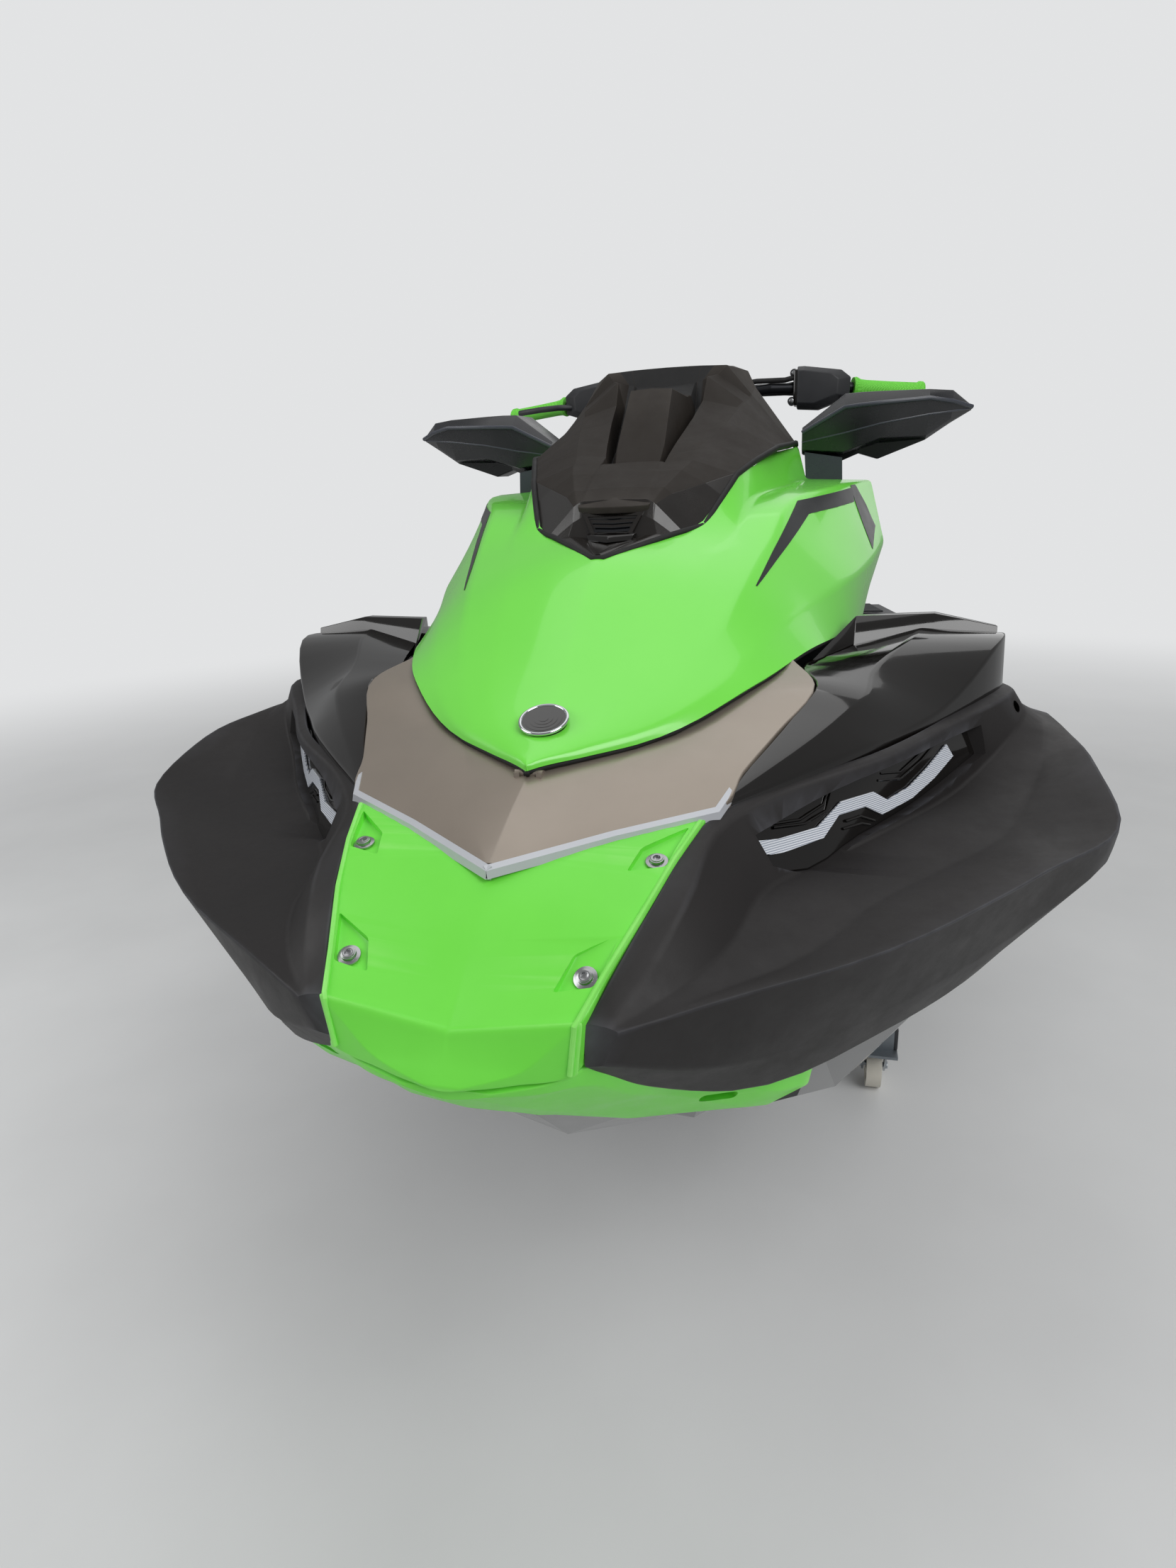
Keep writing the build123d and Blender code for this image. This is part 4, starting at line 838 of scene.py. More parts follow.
# %% Badge
spot, normal = cast(hood, (1.457, 0, 1.3), (0, 0, -1))
disc = drum("badge_disc", 25.5, 7, 64)
pick(disc, lambda centre, way: way.z > 0.9)
terrace(*[(0.005, 0.00025)] * 4)
disc.data.transform(facing(spot + normal * 0.0008, normal))
done(disc, black_lacquer, "hood_lid", ["badge"], smooth=30)
bpy.ops.mesh.primitive_torus_add(major_radius=0.0258, minor_radius=0.0021,
                                 major_segments=72, minor_segments=12)
ring = bpy.context.object
ring.name = "badge_ring"
ring.data.transform(facing(spot + normal * 0.0036, normal))
done(ring, chrome, "hood_lid", smooth=60)
print("badge at", tuple(round(v, 3) for v in spot))

# %% [markdown]
# ## Cowl
# The charcoal cowl is faceted like cut stone. A deep slot on each side parts a wing from the centre
# pod, and a glossier band with the smoked lens forms its front edge. The sections are joined by
# straight lines and shaded flat, since smooth ones would melt the facets. The faces of the shell
# come in columns along it, so band and slot take their finish by column and place: the slot floors
# and the hollow behind the pod get near-black rubber as painted shade.

# %% Cowl shell
def cut_stone(x, half):
    """The section with its lip, a crease that runs from lamp to hood, and a sharper wing."""
    (edge_y, edge_z), (wing_y, wing_z) = half[0], half[1]
    wing_z += 5 if 600 < x < 1090 else 0
    share = float(np.interp(x, (585, 968, 1010, 1064, 1096, 1196), (0.04, 0.06, 0.42, 0.8, 0.92, 0.92)))
    bulge = 12 * share * (1 - share)
    crease = (edge_y + (wing_y - edge_y) * share, edge_z + (wing_z - edge_z) * share + bulge)
    return (x, [(edge_y, edge_z - 6), (edge_y, edge_z), crease, (wing_y, wing_z), *half[2:]])


cowl = skin("cowl_shell", [cut_stone(x, p) for x, p in COWL], steps=1, radius=2.5, closed=False)
for material in (cowl_textured, cowl_band, black_rubber_and_painted_shade):
    cowl.data.materials.append(material)
# faces across the shell, and the columns of its glossy band, its slots and its centre pod; slot floors and
# the hollow behind the pod get painted shade in near-black rubber
ACROSS = 61
BAND, SLOT, POD = range(6), range(17, 23), range(24, ACROSS)
for number, face in enumerate(cowl.data.polygons):
    column = min(number % ACROSS, ACROSS - 1 - number % ACROSS)
    x = face.center.x
    band = x > 1.085 or (column in BAND and x > 0.95)
    shade = (column in SLOT and 0.6 < x < 0.94) or (column in POD and 0.656 < x < 0.702)
    face.material_index = 1 if band else 2 if shade else 0
modify(cowl, "SOLIDIFY", thickness=0.004, offset=-1)
done(cowl, None, "hood_lid", ["cowl"], smooth=3)
print("cowl faces:", len(cowl.data.polygons))

# %% [markdown]
# A small brow juts out over the lamp, and a rubber seal lies between cowl and hood.

# %% Cowl brow and seal
BROW = [(-57, 1068, 1274), (-50, 1101, 1263), (-26, 1109, 1262), (0, 1115, 1262),
        (26, 1109, 1262), (50, 1101, 1263), (57, 1068, 1274)]
rings = [metres([(x - 26, y, z + 12), (x, y, z), (x - 2, y * 0.98, z - 9), (x - 24, y * 0.96, z - 11)])
         for y, x, z in BROW]
brow = drape("cowl_brow", rings, True)
soften(brow, 0.0012, angle=0.5)
done(brow, cowl_textured, "hood_lid", smooth=20)
edges = [(x, points[0]) for x, points in sorted(COWL)]
line = [(x + 1, y + 0.5, z) for x, (y, z) in edges] + [(x + 1, -y - 0.5, z) for x, (y, z) in edges[::-1]]
done(cord("cowl_seal", line, 4.4, 8), black_rubber_and_painted_shade, "hood_lid", smooth=60)
print("brow points:", len(BROW))

# %% [markdown]
# The lamp in the cowl's front is a smoked lens in a frame that widens toward its top. It starts as
# a plane whose corners are moved, then the frame is an inset and the glass is pushed back.

# %% Cowl lamp
# the way the lamp looks, ahead and up
LAMP_X, LAMP_Z = 0.915, 0.403


def on_lamp(across_mm, up_mm, out_mm):
    """From the lamp's own face to the craft's frame."""
    x = 1103 - LAMP_Z * up_mm + LAMP_X * out_mm
    z = 1244 + LAMP_X * up_mm + LAMP_Z * out_mm
    return Vector((x, across_mm, z)) / 1000


corners = [(-27, -24), (27, -24), (43, 9), (-43, 9)]
lamp_frame = drape("cowl_lamp", [[on_lamp(*corners[0], 5), on_lamp(*corners[1], 5)],
                                 [on_lamp(*corners[3], 5), on_lamp(*corners[2], 5)]], False)
pick(lamp_frame, lambda centre, way: True)
terrace((0.005, -0.004), way=(LAMP_X, 0, LAMP_Z))
lamp_frame.data.materials.append(cowl_band)
lamp_frame.data.materials.append(lens_smoked)
for face in lamp_frame.data.polygons:
    face.material_index = int(face.area > 0.001)
modify(lamp_frame, "SOLIDIFY", thickness=0.006, offset=-1)
done(lamp_frame, None, "hood_lid", ["cowl_lens"], smooth=20)
for number, (half, up) in enumerate(((21, -18), (24, -12), (28, -6), (32, 0))):
    line = [on_lamp(y, up + abs(y) * 0.05, 2.2) * 1000 for y in (-half, 0, half)]
    rib = cord(f"lamp_rib_{number}", line, 1.3, 6)
    done(rib, screen_glass, "hood_lid", smooth=20)
chin = drape("cowl_chin", [metres(ring) for ring in (
    [(1112, -34, 1228), (1124, -33, 1226), (1128, -30, 1218), (1112, -30, 1216)],
    [(1118, 0, 1228), (1136, 0, 1225), (1144, 0, 1216), (1118, 0, 1212)],
    [(1112, 34, 1228), (1124, 33, 1226), (1128, 30, 1218), (1112, 30, 1216)])], True)
soften(chin, 0.001, angle=0.5)
done(chin, black_lacquer, "hood_lid", smooth=20)
print("lamp ribs: 4")

# %% [markdown]
# ## Mirrors
# Each mirror is a long faceted blade on a short foot at the hood's corner. Sections here run outward,
# with the outline in X and Z from the foot of the glass round the nose to its top. A grey trim strip
# follows the sharpest edge and a thinner line the crease under it. The glass faces aft.

# %% Mirrors
MIRROR = [(233, [(505, 1338), (578, 1338), (582, 1341), (592, 1344),
                 (598, 1356), (604, 1372), (592, 1381), (515, 1384)]),
          (305, [(485, 1326), (548, 1324), (556, 1333), (592, 1337),
                 (601, 1368), (613, 1409), (588, 1433), (488, 1436)]),
          (333, [(480, 1337), (545, 1335), (552, 1342), (592, 1346),
                 (601, 1374), (614, 1411), (588, 1434), (484, 1437)]),
          (367, [(476, 1326), (545, 1324), (548, 1352), (589, 1357),
                 (600, 1381), (612, 1413), (585, 1434), (482, 1437)]),
          (445, [(487, 1354), (550, 1352), (556, 1354), (566, 1358),
                 (585, 1392), (596, 1417), (575, 1433), (492, 1437)]),
          (485, [(500, 1379), (546, 1378), (550, 1380), (554, 1384),
                 (568, 1396), (576, 1411), (562, 1430), (505, 1435)]),
          (520, [(522, 1398), (534, 1398), (536, 1399), (538, 1400),
                 (542, 1401), (544, 1403), (540, 1405), (524, 1406)])]
MIRROR_FOOT = [[(588, 238, 1340), (588, 242, 1290), (545, 242, 1290), (545, 238, 1340)],
               [(588, 304, 1328), (588, 306, 1288), (545, 306, 1288), (545, 304, 1328)]]
MIRROR_GLASS = [[(483, 300, 1338), (485, 300, 1428)], [(477, 333, 1347), (481, 333, 1430)],
                [(473, 367, 1342), (478, 367, 1430)], [(485, 445, 1364), (489, 445, 1430)],
                [(496, 480, 1384), (501, 480, 1429)]]
for sign, hand in SIDES:
    rings = [metres([(x, y, z) for x, z in rounded(outline, 3, True)], sign) for y, outline in MIRROR]
    mirror = drape(f"mirror_{hand}", rings, True)
    done(mirror, mirror_black, "hood_lid", ["mirrors"] if sign > 0 else (), smooth=14)
    for kind, shift, point, width in (("trim", 0, 5, 3.6), ("crease", -1, 4, 1.8)):
        line = [(p[point][0] + shift, sign * y, p[point][1]) for y, p in MIRROR]
        done(cord(f"mirror_{kind}_{hand}", line, width, 8), trim_grey, "hood_lid", smooth=40)
    foot = drape(f"mirror_foot_{hand}", [metres(ring, sign) for ring in MIRROR_FOOT], True)
    done(foot, trim_grey, "hood_lid", smooth=20)
    glass = drape(f"mirror_glass_{hand}", [metres(row, sign) for row in MIRROR_GLASS], False)
    modify(glass, "SOLIDIFY", thickness=0.003, offset=0)
    done(glass, mirror_glass, "hood_lid")
print("mirrors ready")

# %% [markdown]
# ## Seats
# The two seat cushions are foam under tight vinyl. Each starts as a slightly small shell, is
# remeshed and puffed up by a short cloth simulation, and then gets its seams.

# %% Filling and seams
def plump(piece, limit):
    """Cloth pressure swells the cover, and no point may move further than the limit in metres."""
    modify(piece, "REMESH", mode="VOXEL", voxel_size=0.006)
    start = np.array([v.co for v in piece.data.vertices])
    only(piece)
    cloth = piece.modifiers.new("swell", "CLOTH")
    cloth.settings.use_pressure = True
    cloth.settings.uniform_pressure_force = 4.0
    cloth.settings.effector_weights.gravity = 0.0
    for number in range(1, 21):
        bpy.context.scene.frame_set(number)
    bpy.ops.object.modifier_apply(modifier=cloth.name)
    bpy.context.scene.frame_set(1)
    moved = np.array([v.co for v in piece.data.vertices]) - start
    length = np.linalg.norm(moved, axis=1, keepdims=True)
    held = start + moved * np.minimum(1, limit / np.maximum(length, 1e-9))
    piece.data.vertices.foreach_set("co", held.astype(np.float32).ravel())
    piece.data.update()
    return piece


def seam_on(cushion, spots, lift):
    """The cushion's skin below each X and Y, all in millimetres, lifted a little."""
    found = [under(cushion, x, y) for x, y in spots]
    return [place * 1000 + normal * lift for place, normal in found if place]


# %% [markdown]
# The cushions' tops are darker than their sides. Piping follows both upper edges, and lime
# stitching crosses the top.

# %% Seat cushions
# each row: X, then Y and Z of the foot, of the widest place and of the top edge
SEATS = {"seat_front": [(22, 100, 1000, 104, 1030, 62, 1070), (-60, 156, 1000, 165, 1040, 104, 1102),
                        (-350, 176, 1000, 190, 1040, 134, 1110), (-560, 176, 1000, 195, 1050, 144, 1150),
                        (-604, 176, 1000, 195, 1050, 144, 1168)],
         "seat_rear": [(-626, 176, 1000, 195, 1050, 144, 1154), (-900, 180, 1000, 195, 1050, 144, 1160),
                       (-1140, 180, 1000, 190, 1050, 144, 1183), (-1217, 170, 1000, 175, 1050, 134, 1183)]}
for name, rows in SEATS.items():
    cushion = skin(name + "_cushion", [(x, [(0, zb - 10), (yb, zb - 8), (ym, zm), (yt, zt), (0, zt + 5)])
                                       for x, yb, zb, ym, zm, yt, zt in rows], steps=4, radius=24)
    plump(cushion, 0.009)
    cushion.data.materials.clear()
    cushion.data.materials.append(vinyl)
    cushion.data.materials.append(vinyl_side)
    for face in cushion.data.polygons:
        face.material_index = int(face.normal.z < 0.45)
    done(cushion, None, "craft", [name], smooth=80)
    aft, fore = rows[-1][0], rows[0][0]
    xs, tops = [row[0] for row in rows[::-1]], [row[5] for row in rows[::-1]]
    for sign, hand in SIDES:
        edge = [(x, sign * (np.interp(x, xs, tops) + 2)) for x in np.linspace(aft + 12, fore - 14, 40)]
        piping = cord(f"{name}_piping_{hand}", seam_on(cushion, edge, 0.6), 2.4, 8)
        done(piping, vinyl, "craft", smooth=60)
    for x in np.linspace(aft + 90, fore - 90, 5 if name == "seat_front" else 4):
        across = [(x, y * np.interp(x, xs, tops)) for y in np.linspace(-0.92, 0.92, 17)]
        stitch = cord(f"{name}_stitch_{round(x)}", seam_on(cushion, across, 0.2), 1.1, 6)
        done(stitch, thread, "craft", smooth=60)
print("cushions ready")

# %% [markdown]
# ## Traction mats and bunk carpet
# Soft foam mats lie in the footwells and on the stern deck, with grooves running across the craft.
# The dolly's two bunks are boards wrapped in carpet. Their tops follow the hull, so each point of a
# bunk's top is found by looking up from below until the hull is met.

# %% Mats
FOOT_MATS = [(-1172, 484, 700.4), (-1000, 495, 697.6), (-400, 505, 690.6), (0, 505, 694.8), (410, 505, 699.8)]
for sign, hand in SIDES:
    rows = [(x, [(271, z), (outer, z), (outer, z + 5), (271, z + 5)]) for x, outer, z in FOOT_MATS]
    mat = skin(f"foot_mat_{hand}", rows, steps=6, radius=3, sign=sign)
    done(mat, mat_foam, "craft", ["deck_mats"] if sign > 0 else ())
STERN_MAT = [(-1733, 466, 801.2), (-1500, 480, 813.6), (-1274, 496, 826.0)]
rows = [(x, [(0, z), (outer, z), (outer, z + 4.6), (0, z + 4.6)]) for x, outer, z in STERN_MAT]
stern_mat = skin("stern_mat", rows, steps=6, radius=3)
done(stern_mat, mat_foam, "craft")
print("mats: 3")

# %% [markdown]
# Along each bunk, seven lines are looked up under the hull. The carpet keeps 1.2 mm away from it.

# %% Bunks
hull = nodes["hull"]
for sign, hand in SIDES:
    rings = []
    for x in np.linspace(-868, 662, 34):
        tops = []
        for y in (202, 209, 216, 230, 244, 251, 258):
            place, _ = cast(hull, (x / 1000, sign * y / 1000, 0.1), (0, 0, 1))
            tops.append((x, y, min(415, (place.z * 1000 if place else 415) - 1.2)))
        rings.append(metres([(x, 202, 179), (x, 258, 179), *tops[::-1]], sign))
    bunk = drape(f"bunk_{hand}", rings, True)
    done(bunk, carpet, "craft", ["dolly_bunks"] if sign > 0 else (), smooth=50)
    for x in (-780, -400, 0, 400, 580):
        clamp = soft_block(f"bunk_clamp_{hand}_{x}", (30, 66, 34), 2,
                           spot=Matrix.Translation((x / 1000, sign * 0.23, 0.193)))
        done(clamp, galvanised, "craft")
print("bunks: 2")

# %% [markdown]
# ## Grips
# The lime rubber grips slide over the bar. Each has a wide flange at its inner end, a slight waist
# for the fingers and a rim at its outer end. One is made from rings along the profile and placed
# twice; the knurl itself is in the material.

# %% Grips
# each pair: place along the grip and radius
GRIP = [(0, 20.5), (6, 21.5), (16, 17.2), (30, 16.2), (80, 15.8),
        (128, 16.2), (141, 16.4), (145, 19), (153, 19), (156, 17)]
GRIP_LENGTH = GRIP[-1][0]
turns = [2 * math.pi * k / 40 for k in range(40)]
grip = drape("grip", [[Vector((r * math.cos(a), r * math.sin(a), z - GRIP_LENGTH / 2)) / 1000 for a in turns]
                      for z, r in GRIP], True)
for sign, hand in SIDES:
    inner, outer = Vector((0.153, sign * 0.322, 1.485)), Vector((0.107, sign * 0.471, 1.473))
    spot = facing((inner + outer) / 2, outer - inner)
    done(placed(grip, f"grip_{hand}", spot), grip_rubber, "steering",
         ["grips"] if sign > 0 else (), smooth=30)
bpy.data.objects.remove(grip)
print("grips ready")

# %% [markdown]
# ## Switch housings, levers and bar pad
# A black faceted housing is clamped to the bar inside each grip. Its outline is drawn as seen from
# ahead and shrunk toward the front and back. Two round bosses with screws hold the clamp, three
# buttons face the rider, and a short lever stands before the grip.

# %% Switch housings
HOUSING = [(206, 1447), (252, 1443), (316, 1464), (318, 1503), (298, 1519), (222, 1531), (206, 1531)]
HOUSING_Y, HOUSING_Z = 210, 1488
HOUSING_STEPS = ((137, 0.86), (147, 1.0), (184, 1.0), (203, 0.76))
BUTTONS = ((0.134, 0.238, 1.508), (0.134, 0.262, 1.492), (0.136, 0.24, 1.478))
for sign, hand in SIDES:
    rings = [metres([(x, HOUSING_Y + (y - HOUSING_Y) * size, HOUSING_Z + (z - HOUSING_Z) * size)
                     for y, z in HOUSING], sign) for x, size in HOUSING_STEPS]
    housing = drape(f"switch_housing_{hand}", rings, True)
    soften(housing, 0.002, segments=3, angle=0.5)
    done(housing, black_moulded, "steering", ["controls"] if sign > 0 else ())
    cap_plate = soft_block(f"clamp_plate_{hand}", (54, 12, 72), 4,
                           spot=Matrix.Translation((0.169, sign * 0.204, 1.489)))
    done(cap_plate, black_lacquer, "steering")
    for number, (side, z) in enumerate(((0.199, 1.518), (0.195, 1.462))):
        spot = facing(Vector((0.180, sign * side, z)), (1, 0, 0))
        boss = drum(f"clamp_boss_{hand}_{number}", 8.5, 24, 24, spot)
        soften(boss, 0.0015)
        done(boss, black_moulded, "steering")
        spot = facing(Vector((0.1925, sign * side, z)), (1, 0, 0))
        head = drum(f"housing_screw_{hand}_{number}", 5, 5, 20, spot)
        soften(head, 0.0008)
        done(head, stainless, "steering")
    for number, (x, y, z) in enumerate(BUTTONS):
        spot = Matrix.Translation((x, sign * y, z))
        button = soft_block(f"button_{hand}_{number}", (10, 16, 12), 2, spot=spot)
        done(button, button_red if number == 0 and sign < 0 else trim_grey, "steering")
print("housings: 2")

# %% [markdown]
# The levers and the black cables that run from each housing along the bar into the pad are strands
# through given points. The cables stop at the pad, so they turn with the bar.

# %% Levers and cables
LEVER = [(190, 300, 1478), (206, 330, 1478), (208, 370, 1476), (196, 412, 1474), (190, 430, 1473)]
for sign, hand, drop in ((1, "port", 18), (-1, "starboard", 0)):
    lever = cord(f"lever_{hand}", [(x, sign * y, z - drop) for x, y, z in LEVER], 6.5, 10)
    soften(lever, 0.001, angle=0.9)
    done(lever, black_moulded, "steering", smooth=50)
    for number, (dx, dz) in enumerate(((-16, 6), (-16, -8), (0, 16))):
        route = [(186 + dx * 0.4, 210, 1489 + dz * 1.4), (190 + dx, 180, 1489 + dz),
                 (194 + dx, 120, 1490 + dz), (196 + dx, 76, 1486 + dz), (196 + dx * 0.6, 58, 1480)]
        cable = cord(f"cable_{hand}_{number}", [(x, sign * y, z) for x, y, z in route], 5.5, 8)
        done(cable, black_rubber_and_painted_shade, "steering", smooth=60)
print("cables: 3 a side")

# %% [markdown]
# The pad over the bar's middle is a rounded block whose top is inset and sunk. A rubber boot with
# pleats covers the steering column under it.

# %% Bar pad and boot
tilt = Matrix.Translation((0.235, 0, 1.395)) @ Matrix.Rotation(math.radians(-30), 4, "Y")
pad = soft_block("bar_pad", (72, 138, 50), 12, 4, tilt @ Matrix.Translation((0, 0, 0.092)))
pick(pad, lambda centre, way: (tilt.inverted() @ centre).z > 0.116)
terrace((0.012, -0.003), way=tilt.to_3x3() @ Vector((0, 0, 1)))
done(pad, black_moulded, "steering")
rings = []
for number in range(15):
    radius = (0.036 if number % 2 else 0.031) - number * 0.0004
    rings.append([tilt @ Vector((radius * math.cos(a), radius * math.sin(a), -0.1 + number * 0.0115))
                  for a in (2 * math.pi * k / 32 for k in range(32))])
boot = drape("column_boot", rings, True)
done(boot, black_rubber_and_painted_shade, "steering", smooth=50)
print("boot pleats:", len(rings) // 2)

# %% [markdown]
# ## Rub rails, stern fittings and console trim
# A black rubber rub rail covers the joint of hull and deck on each side, and two drain plugs are
# screwed into the transom.

# %% Rails and drain plugs
# the joint of hull and deck, then the rail's outline outward and up from it
GUNWALE = [(-1748, 530, 747), (-1200, 565, 770), (-500, 590, 805),
           (300, 595, 840), (800, 595, 860), (990, 595, 862)]
RAIL = ((-4, 22), (0.5, 20), (2.2, 14), (1.2, 9), (2.2, 4), (0.5, -2), (-4, -4))
for sign, hand in SIDES:
    xs = np.linspace(-1742, 985, 60)
    ys, zs = (np.interp(xs, [row[0] for row in GUNWALE], [row[k] for row in GUNWALE]) for k in (1, 2))
    rings = [metres([(x, y + out, z + up) for out, up in RAIL], sign) for x, y, z in zip(xs, ys, zs)]
    rail = drape(f"rub_rail_{hand}", rings, True)
    done(rail, rail_rubber, "craft", smooth=40)
    plug = drum(f"drain_plug_{hand}", 17, 12, 36, facing(Vector((-1.7375, sign * 0.24, 0.40)), (-1, 0, 0)))
    pick(plug, lambda centre, way: way.x < -0.9)
    terrace((0.006, 0.005), way=(-1, 0, 0))
    soften(plug, 0.001)
    done(plug, black_moulded, "craft")
print("rails and plugs: 2 of each")

# %% [markdown]
# The boarding step's tread is a rounded block. The display's bezel is another, tilted like the
# screen, with its top inset and sunk for the glass.

# %% Step tread and display bezel
tread = soft_block("step_tread", (32, 300, 42), 5, spot=Matrix.Translation((-1.7745, 0, 0.77)))
done(tread, black_moulded, "step")
screen_tilt = Matrix.Translation((0.47, 0, 1.352)) @ Matrix.Rotation(math.radians(-28), 4, "Y")
bezel = soft_block("display_bezel", (136, 160, 40), 8, 3, screen_tilt @ Matrix.Translation((0, 0, 0.0125)))
pick(bezel, lambda centre, way: (screen_tilt.inverted() @ centre).z > 0.032
     and (screen_tilt.to_3x3().inverted() @ way).z > 0.9)
terrace((0.014, -0.004), way=screen_tilt.to_3x3() @ Vector((0, 0, 1)))
bezel.data.materials.append(black_moulded)
bezel.data.materials.append(screen_glass)
for face in bezel.data.polygons:
    local = screen_tilt.inverted() @ face.center
    face.material_index = int(abs(local.x) < 0.052 and abs(local.y) < 0.064 and local.z > 0.02)
done(bezel, None, "craft")
print("tread and bezel ready")

# %% [markdown]
# ## Casters
# The wheels are cast white nylon on zinc-plated swivel forks. One wheel is turned from a cylinder:
# both faces are inset for the dish and pushed out again for the hub.

# %% Caster wheel
wheel = drum("caster_model", 50, 32, 64)
for side in (1, -1):
    pick(wheel, lambda centre, way: way.z * side > 0.9)
    terrace((0.011, -0.008), (0.017, 0.007), (0.012, -0.002), way=(0, 0, side))
soften(wheel, 0.0016, segments=3, angle=0.6)
print("caster wheel:", len(wheel.data.polygons), "faces")

# %% [markdown]
# Each corner of the dolly gets a wheel on its axle, two nuts, the swivel's race and a brake pedal.
# Plastic plugs close the ends of the two cross tubes.

# %% Casters and tube plugs
CORNERS = ("front_left", "front_right", "rear_left", "rear_right")
# height of the axles above the floor, and the brake pedal's line behind the swivel
AXLE = 0.05
PEDAL = ((-0.005, 0.108), (-0.035, 0.106), (-0.058, 0.094), (-0.07, 0.08))
for corner in CORNERS:
    low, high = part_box("caster_wheel_" + corner)
    x, y = (low[0] + high[0]) / 2, (low[1] + high[1]) / 2
    spot = facing(Vector((x, y, AXLE)), (0, 1, 0))
    done(placed(wheel, f"cast_wheel_{corner}", spot), white_nylon,
         f"wheel_{corner}", [f"caster_wheel_{corner}"])
    for side in (1, -1):
        spot = facing(Vector((x, y + side * 0.0275, AXLE)), (0, 1, 0))
        nut = drum(f"axle_nut_{corner}_{side}", 9, 6, 6, spot)
        soften(nut, 0.0008)
        done(nut, zinc, f"caster_{corner}")
    race = drum(f"swivel_race_{corner}", 26, 9, 48, Matrix.Translation((x + 0.035, y, 0.1177)))
    soften(race, 0.002, segments=3)
    done(race, zinc, f"caster_{corner}")
    rings = [[Vector((x + back, y + w, z)) for w in (-0.02, -0.01, 0.01, 0.02)] for back, z in PEDAL]
    brake = drape(f"brake_pedal_{corner}", rings, False)
    modify(brake, "SOLIDIFY", thickness=0.003, offset=0)
    soften(brake, 0.001)
    done(brake, zinc, f"caster_{corner}")
bpy.data.objects.remove(wheel)
for x in (0.574, -0.8):
    for sign in (1, -1):
        spot = Matrix.Translation((x, sign * 0.468, 0.153))
        plug = soft_block(f"tube_plug_{x}_{sign}", (50, 10, 50), 3, spot=spot)
        done(plug, black_moulded, "craft")
print("casters: 4")

# %% [markdown]
# ## Finishes on the carried-over parts
# The remaining CAD parts already have the right shape, so they only take their finish.

# %% Finishes of the CAD parts
FINISHES = [(black_gelcoat, "hull"), (engine_paint, "engine"), (light_strip, "bow_lights"),
            (black_moulded, "deck storage_bin console glove_lid controls grab_handle sponsons"),
            (champagne, "hood_hinge"), (lens_smoked, "cowl_lens"), (black_lacquer, "badge"),
            (screen_glass, "display"), (anodised, "handlebar"), (mat_foam, "deck_mats"),
            (stainless, "step_brackets boarding_step stern_eyes impeller"),
            (aluminium, "ride_plate intake_grate pump_housing nozzle reverse_bucket"),
            (galvanised, "dolly_frame"), (carpet, "dolly_bunks"),
            (zinc, " ".join("caster_fork_" + corner for corner in CORNERS)),
            (white_nylon, " ".join("caster_wheel_" + corner for corner in CORNERS))]
finished = [(name, material) for material, names in FINISHES for name in names.split()]
for name, material in finished:
    for place in nodes[name].material_slots:
        place.material = material
print("CAD parts finished:", len(finished))

# %% [markdown]
# ## Room
# A plain pale floor and soft lamps high up like a studio's. The camera sees the room nearly white;
# lacquer and plastic mirror a dimmer one, as they would in a hall with its own walls and ceiling.

# %% Floor
# how bright the room is for the camera, and for what the craft mirrors
SHOWN, MIRRORED = 0.9, 0.3


def room_rays(tree):
    """1 for camera, mirror and glass rays, and the room's brightness for each of them."""
    path = put(tree, "ShaderNodeLightPath").outputs
    seen = reckon(tree, "MAXIMUM", path["Is Camera Ray"], path["Is Glossy Ray"])
    seen = reckon(tree, "MAXIMUM", seen, path["Is Transmission Ray"])
    return seen, reckon(tree, "MULTIPLY_ADD", path["Is Glossy Ray"], MIRRORED - SHOWN, SHOWN)


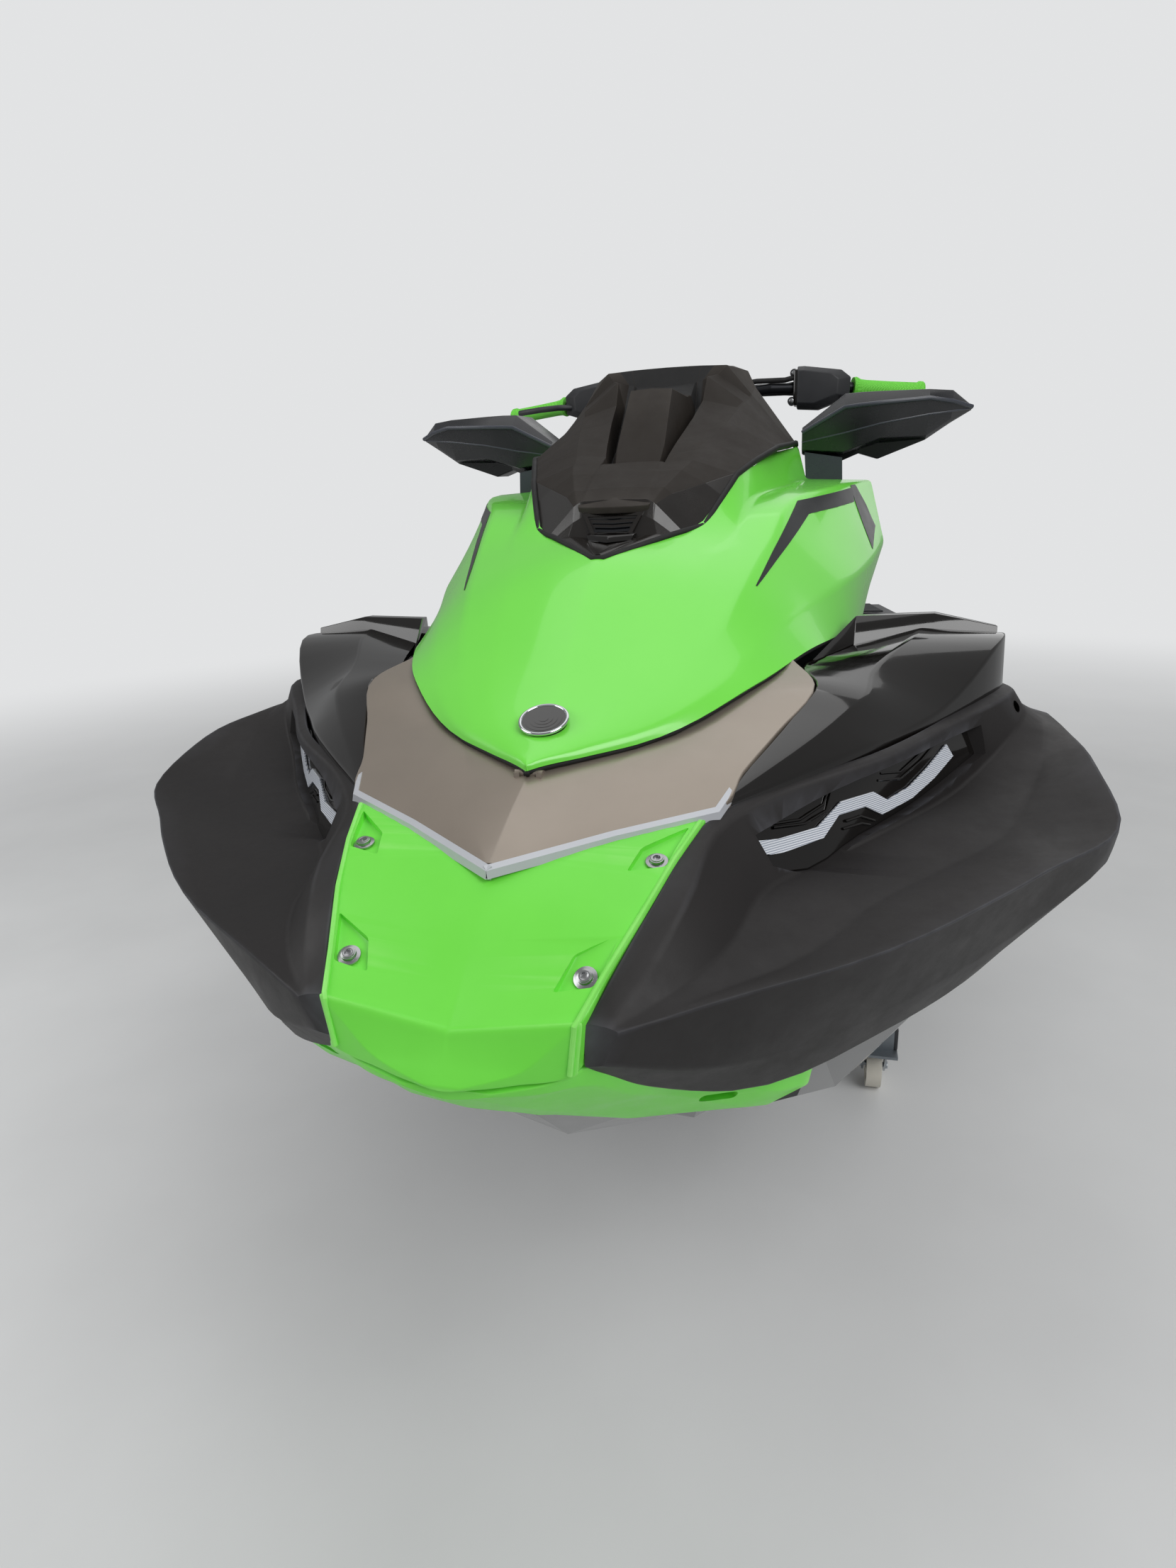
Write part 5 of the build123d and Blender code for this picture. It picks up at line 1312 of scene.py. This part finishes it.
def pale_stage(name, colour, room):
    """Matt floor near the craft; far away the camera and reflections see the room's own tone."""
    material, tree, shader, place = begin(name)
    tint = shades(tree, noise(tree, place, 2.0, 4.0), (0.3, colour), (0.7, "#DFE0E0"))
    tree.links.new(tint, shader.inputs["Base Color"])
    shader.inputs["Roughness"].default_value = 0.8
    away = put(tree, "ShaderNodeVectorMath", {0: place}, operation="LENGTH").outputs["Value"]
    far = put(tree, "ShaderNodeMapRange", {"Value": away, "From Min": 1.8, "From Max": 7.0},
              interpolation_type="SMOOTHSTEP").outputs[0]
    seen, brightness = room_rays(tree)
    glow = put(tree, "ShaderNodeEmission", {"Color": linear(room), "Strength": brightness})
    mixed = put(tree, "ShaderNodeMixShader", {0: reckon(tree, "MULTIPLY", seen, far),
                                              1: shader.outputs[0], 2: glow.outputs[0]})
    tree.links.new(mixed.outputs[0], tree.nodes["Material Output"].inputs["Surface"])
    return material


bpy.ops.mesh.primitive_plane_add(size=40)
floor = bpy.context.object
floor.name = "studio_floor"
floor.data.materials.append(pale_stage("Pale studio floor", "#E6E7E7", "#EDEEEF"))
print("floor:", floor.name)

# %% [markdown]
# Four round area lamps look at the middle of the craft. The world's own light fills the shadows.

# %% Lamps and world
LAMPS = [("key", (3.2, 2.6, 3.6), 3.0, 95), ("fill", (2.6, -3.2, 2.8), 3.0, 55),
         ("top", (0.2, 0.0, 4.2), 3.6, 28), ("rear", (-3.8, 1.2, 3.4), 5.0, 36)]
for name, spot, size, power in LAMPS:
    bpy.ops.object.light_add(type="AREA", location=spot)
    lamp = bpy.context.object
    lamp.name = "lamp_" + name
    lamp.data.shape = "DISK"
    lamp.data.size = size
    lamp.data.energy = power
    lamp.rotation_euler = (Vector((0.6, 0, 0.8)) - Vector(spot)).to_track_quat("-Z", "Y").to_euler()

world = bpy.data.worlds.new("Pale room")
bpy.context.scene.world = world
world.use_nodes = True
tree = world.node_tree
tree.nodes.clear()
seen, brightness = room_rays(tree)
soft = put(tree, "ShaderNodeBackground", {"Color": linear("#F4F5F6"), "Strength": 0.30})
shown = put(tree, "ShaderNodeBackground", {"Color": linear("#EDEEEF"), "Strength": brightness})
mixed = put(tree, "ShaderNodeMixShader", {0: seen, 1: soft.outputs[0], 2: shown.outputs[0]})
put(tree, "ShaderNodeOutputWorld", {"Surface": mixed.outputs[0]})
bpy.context.scene.view_settings.view_transform = "Standard"
print("lamps:", len(LAMPS))
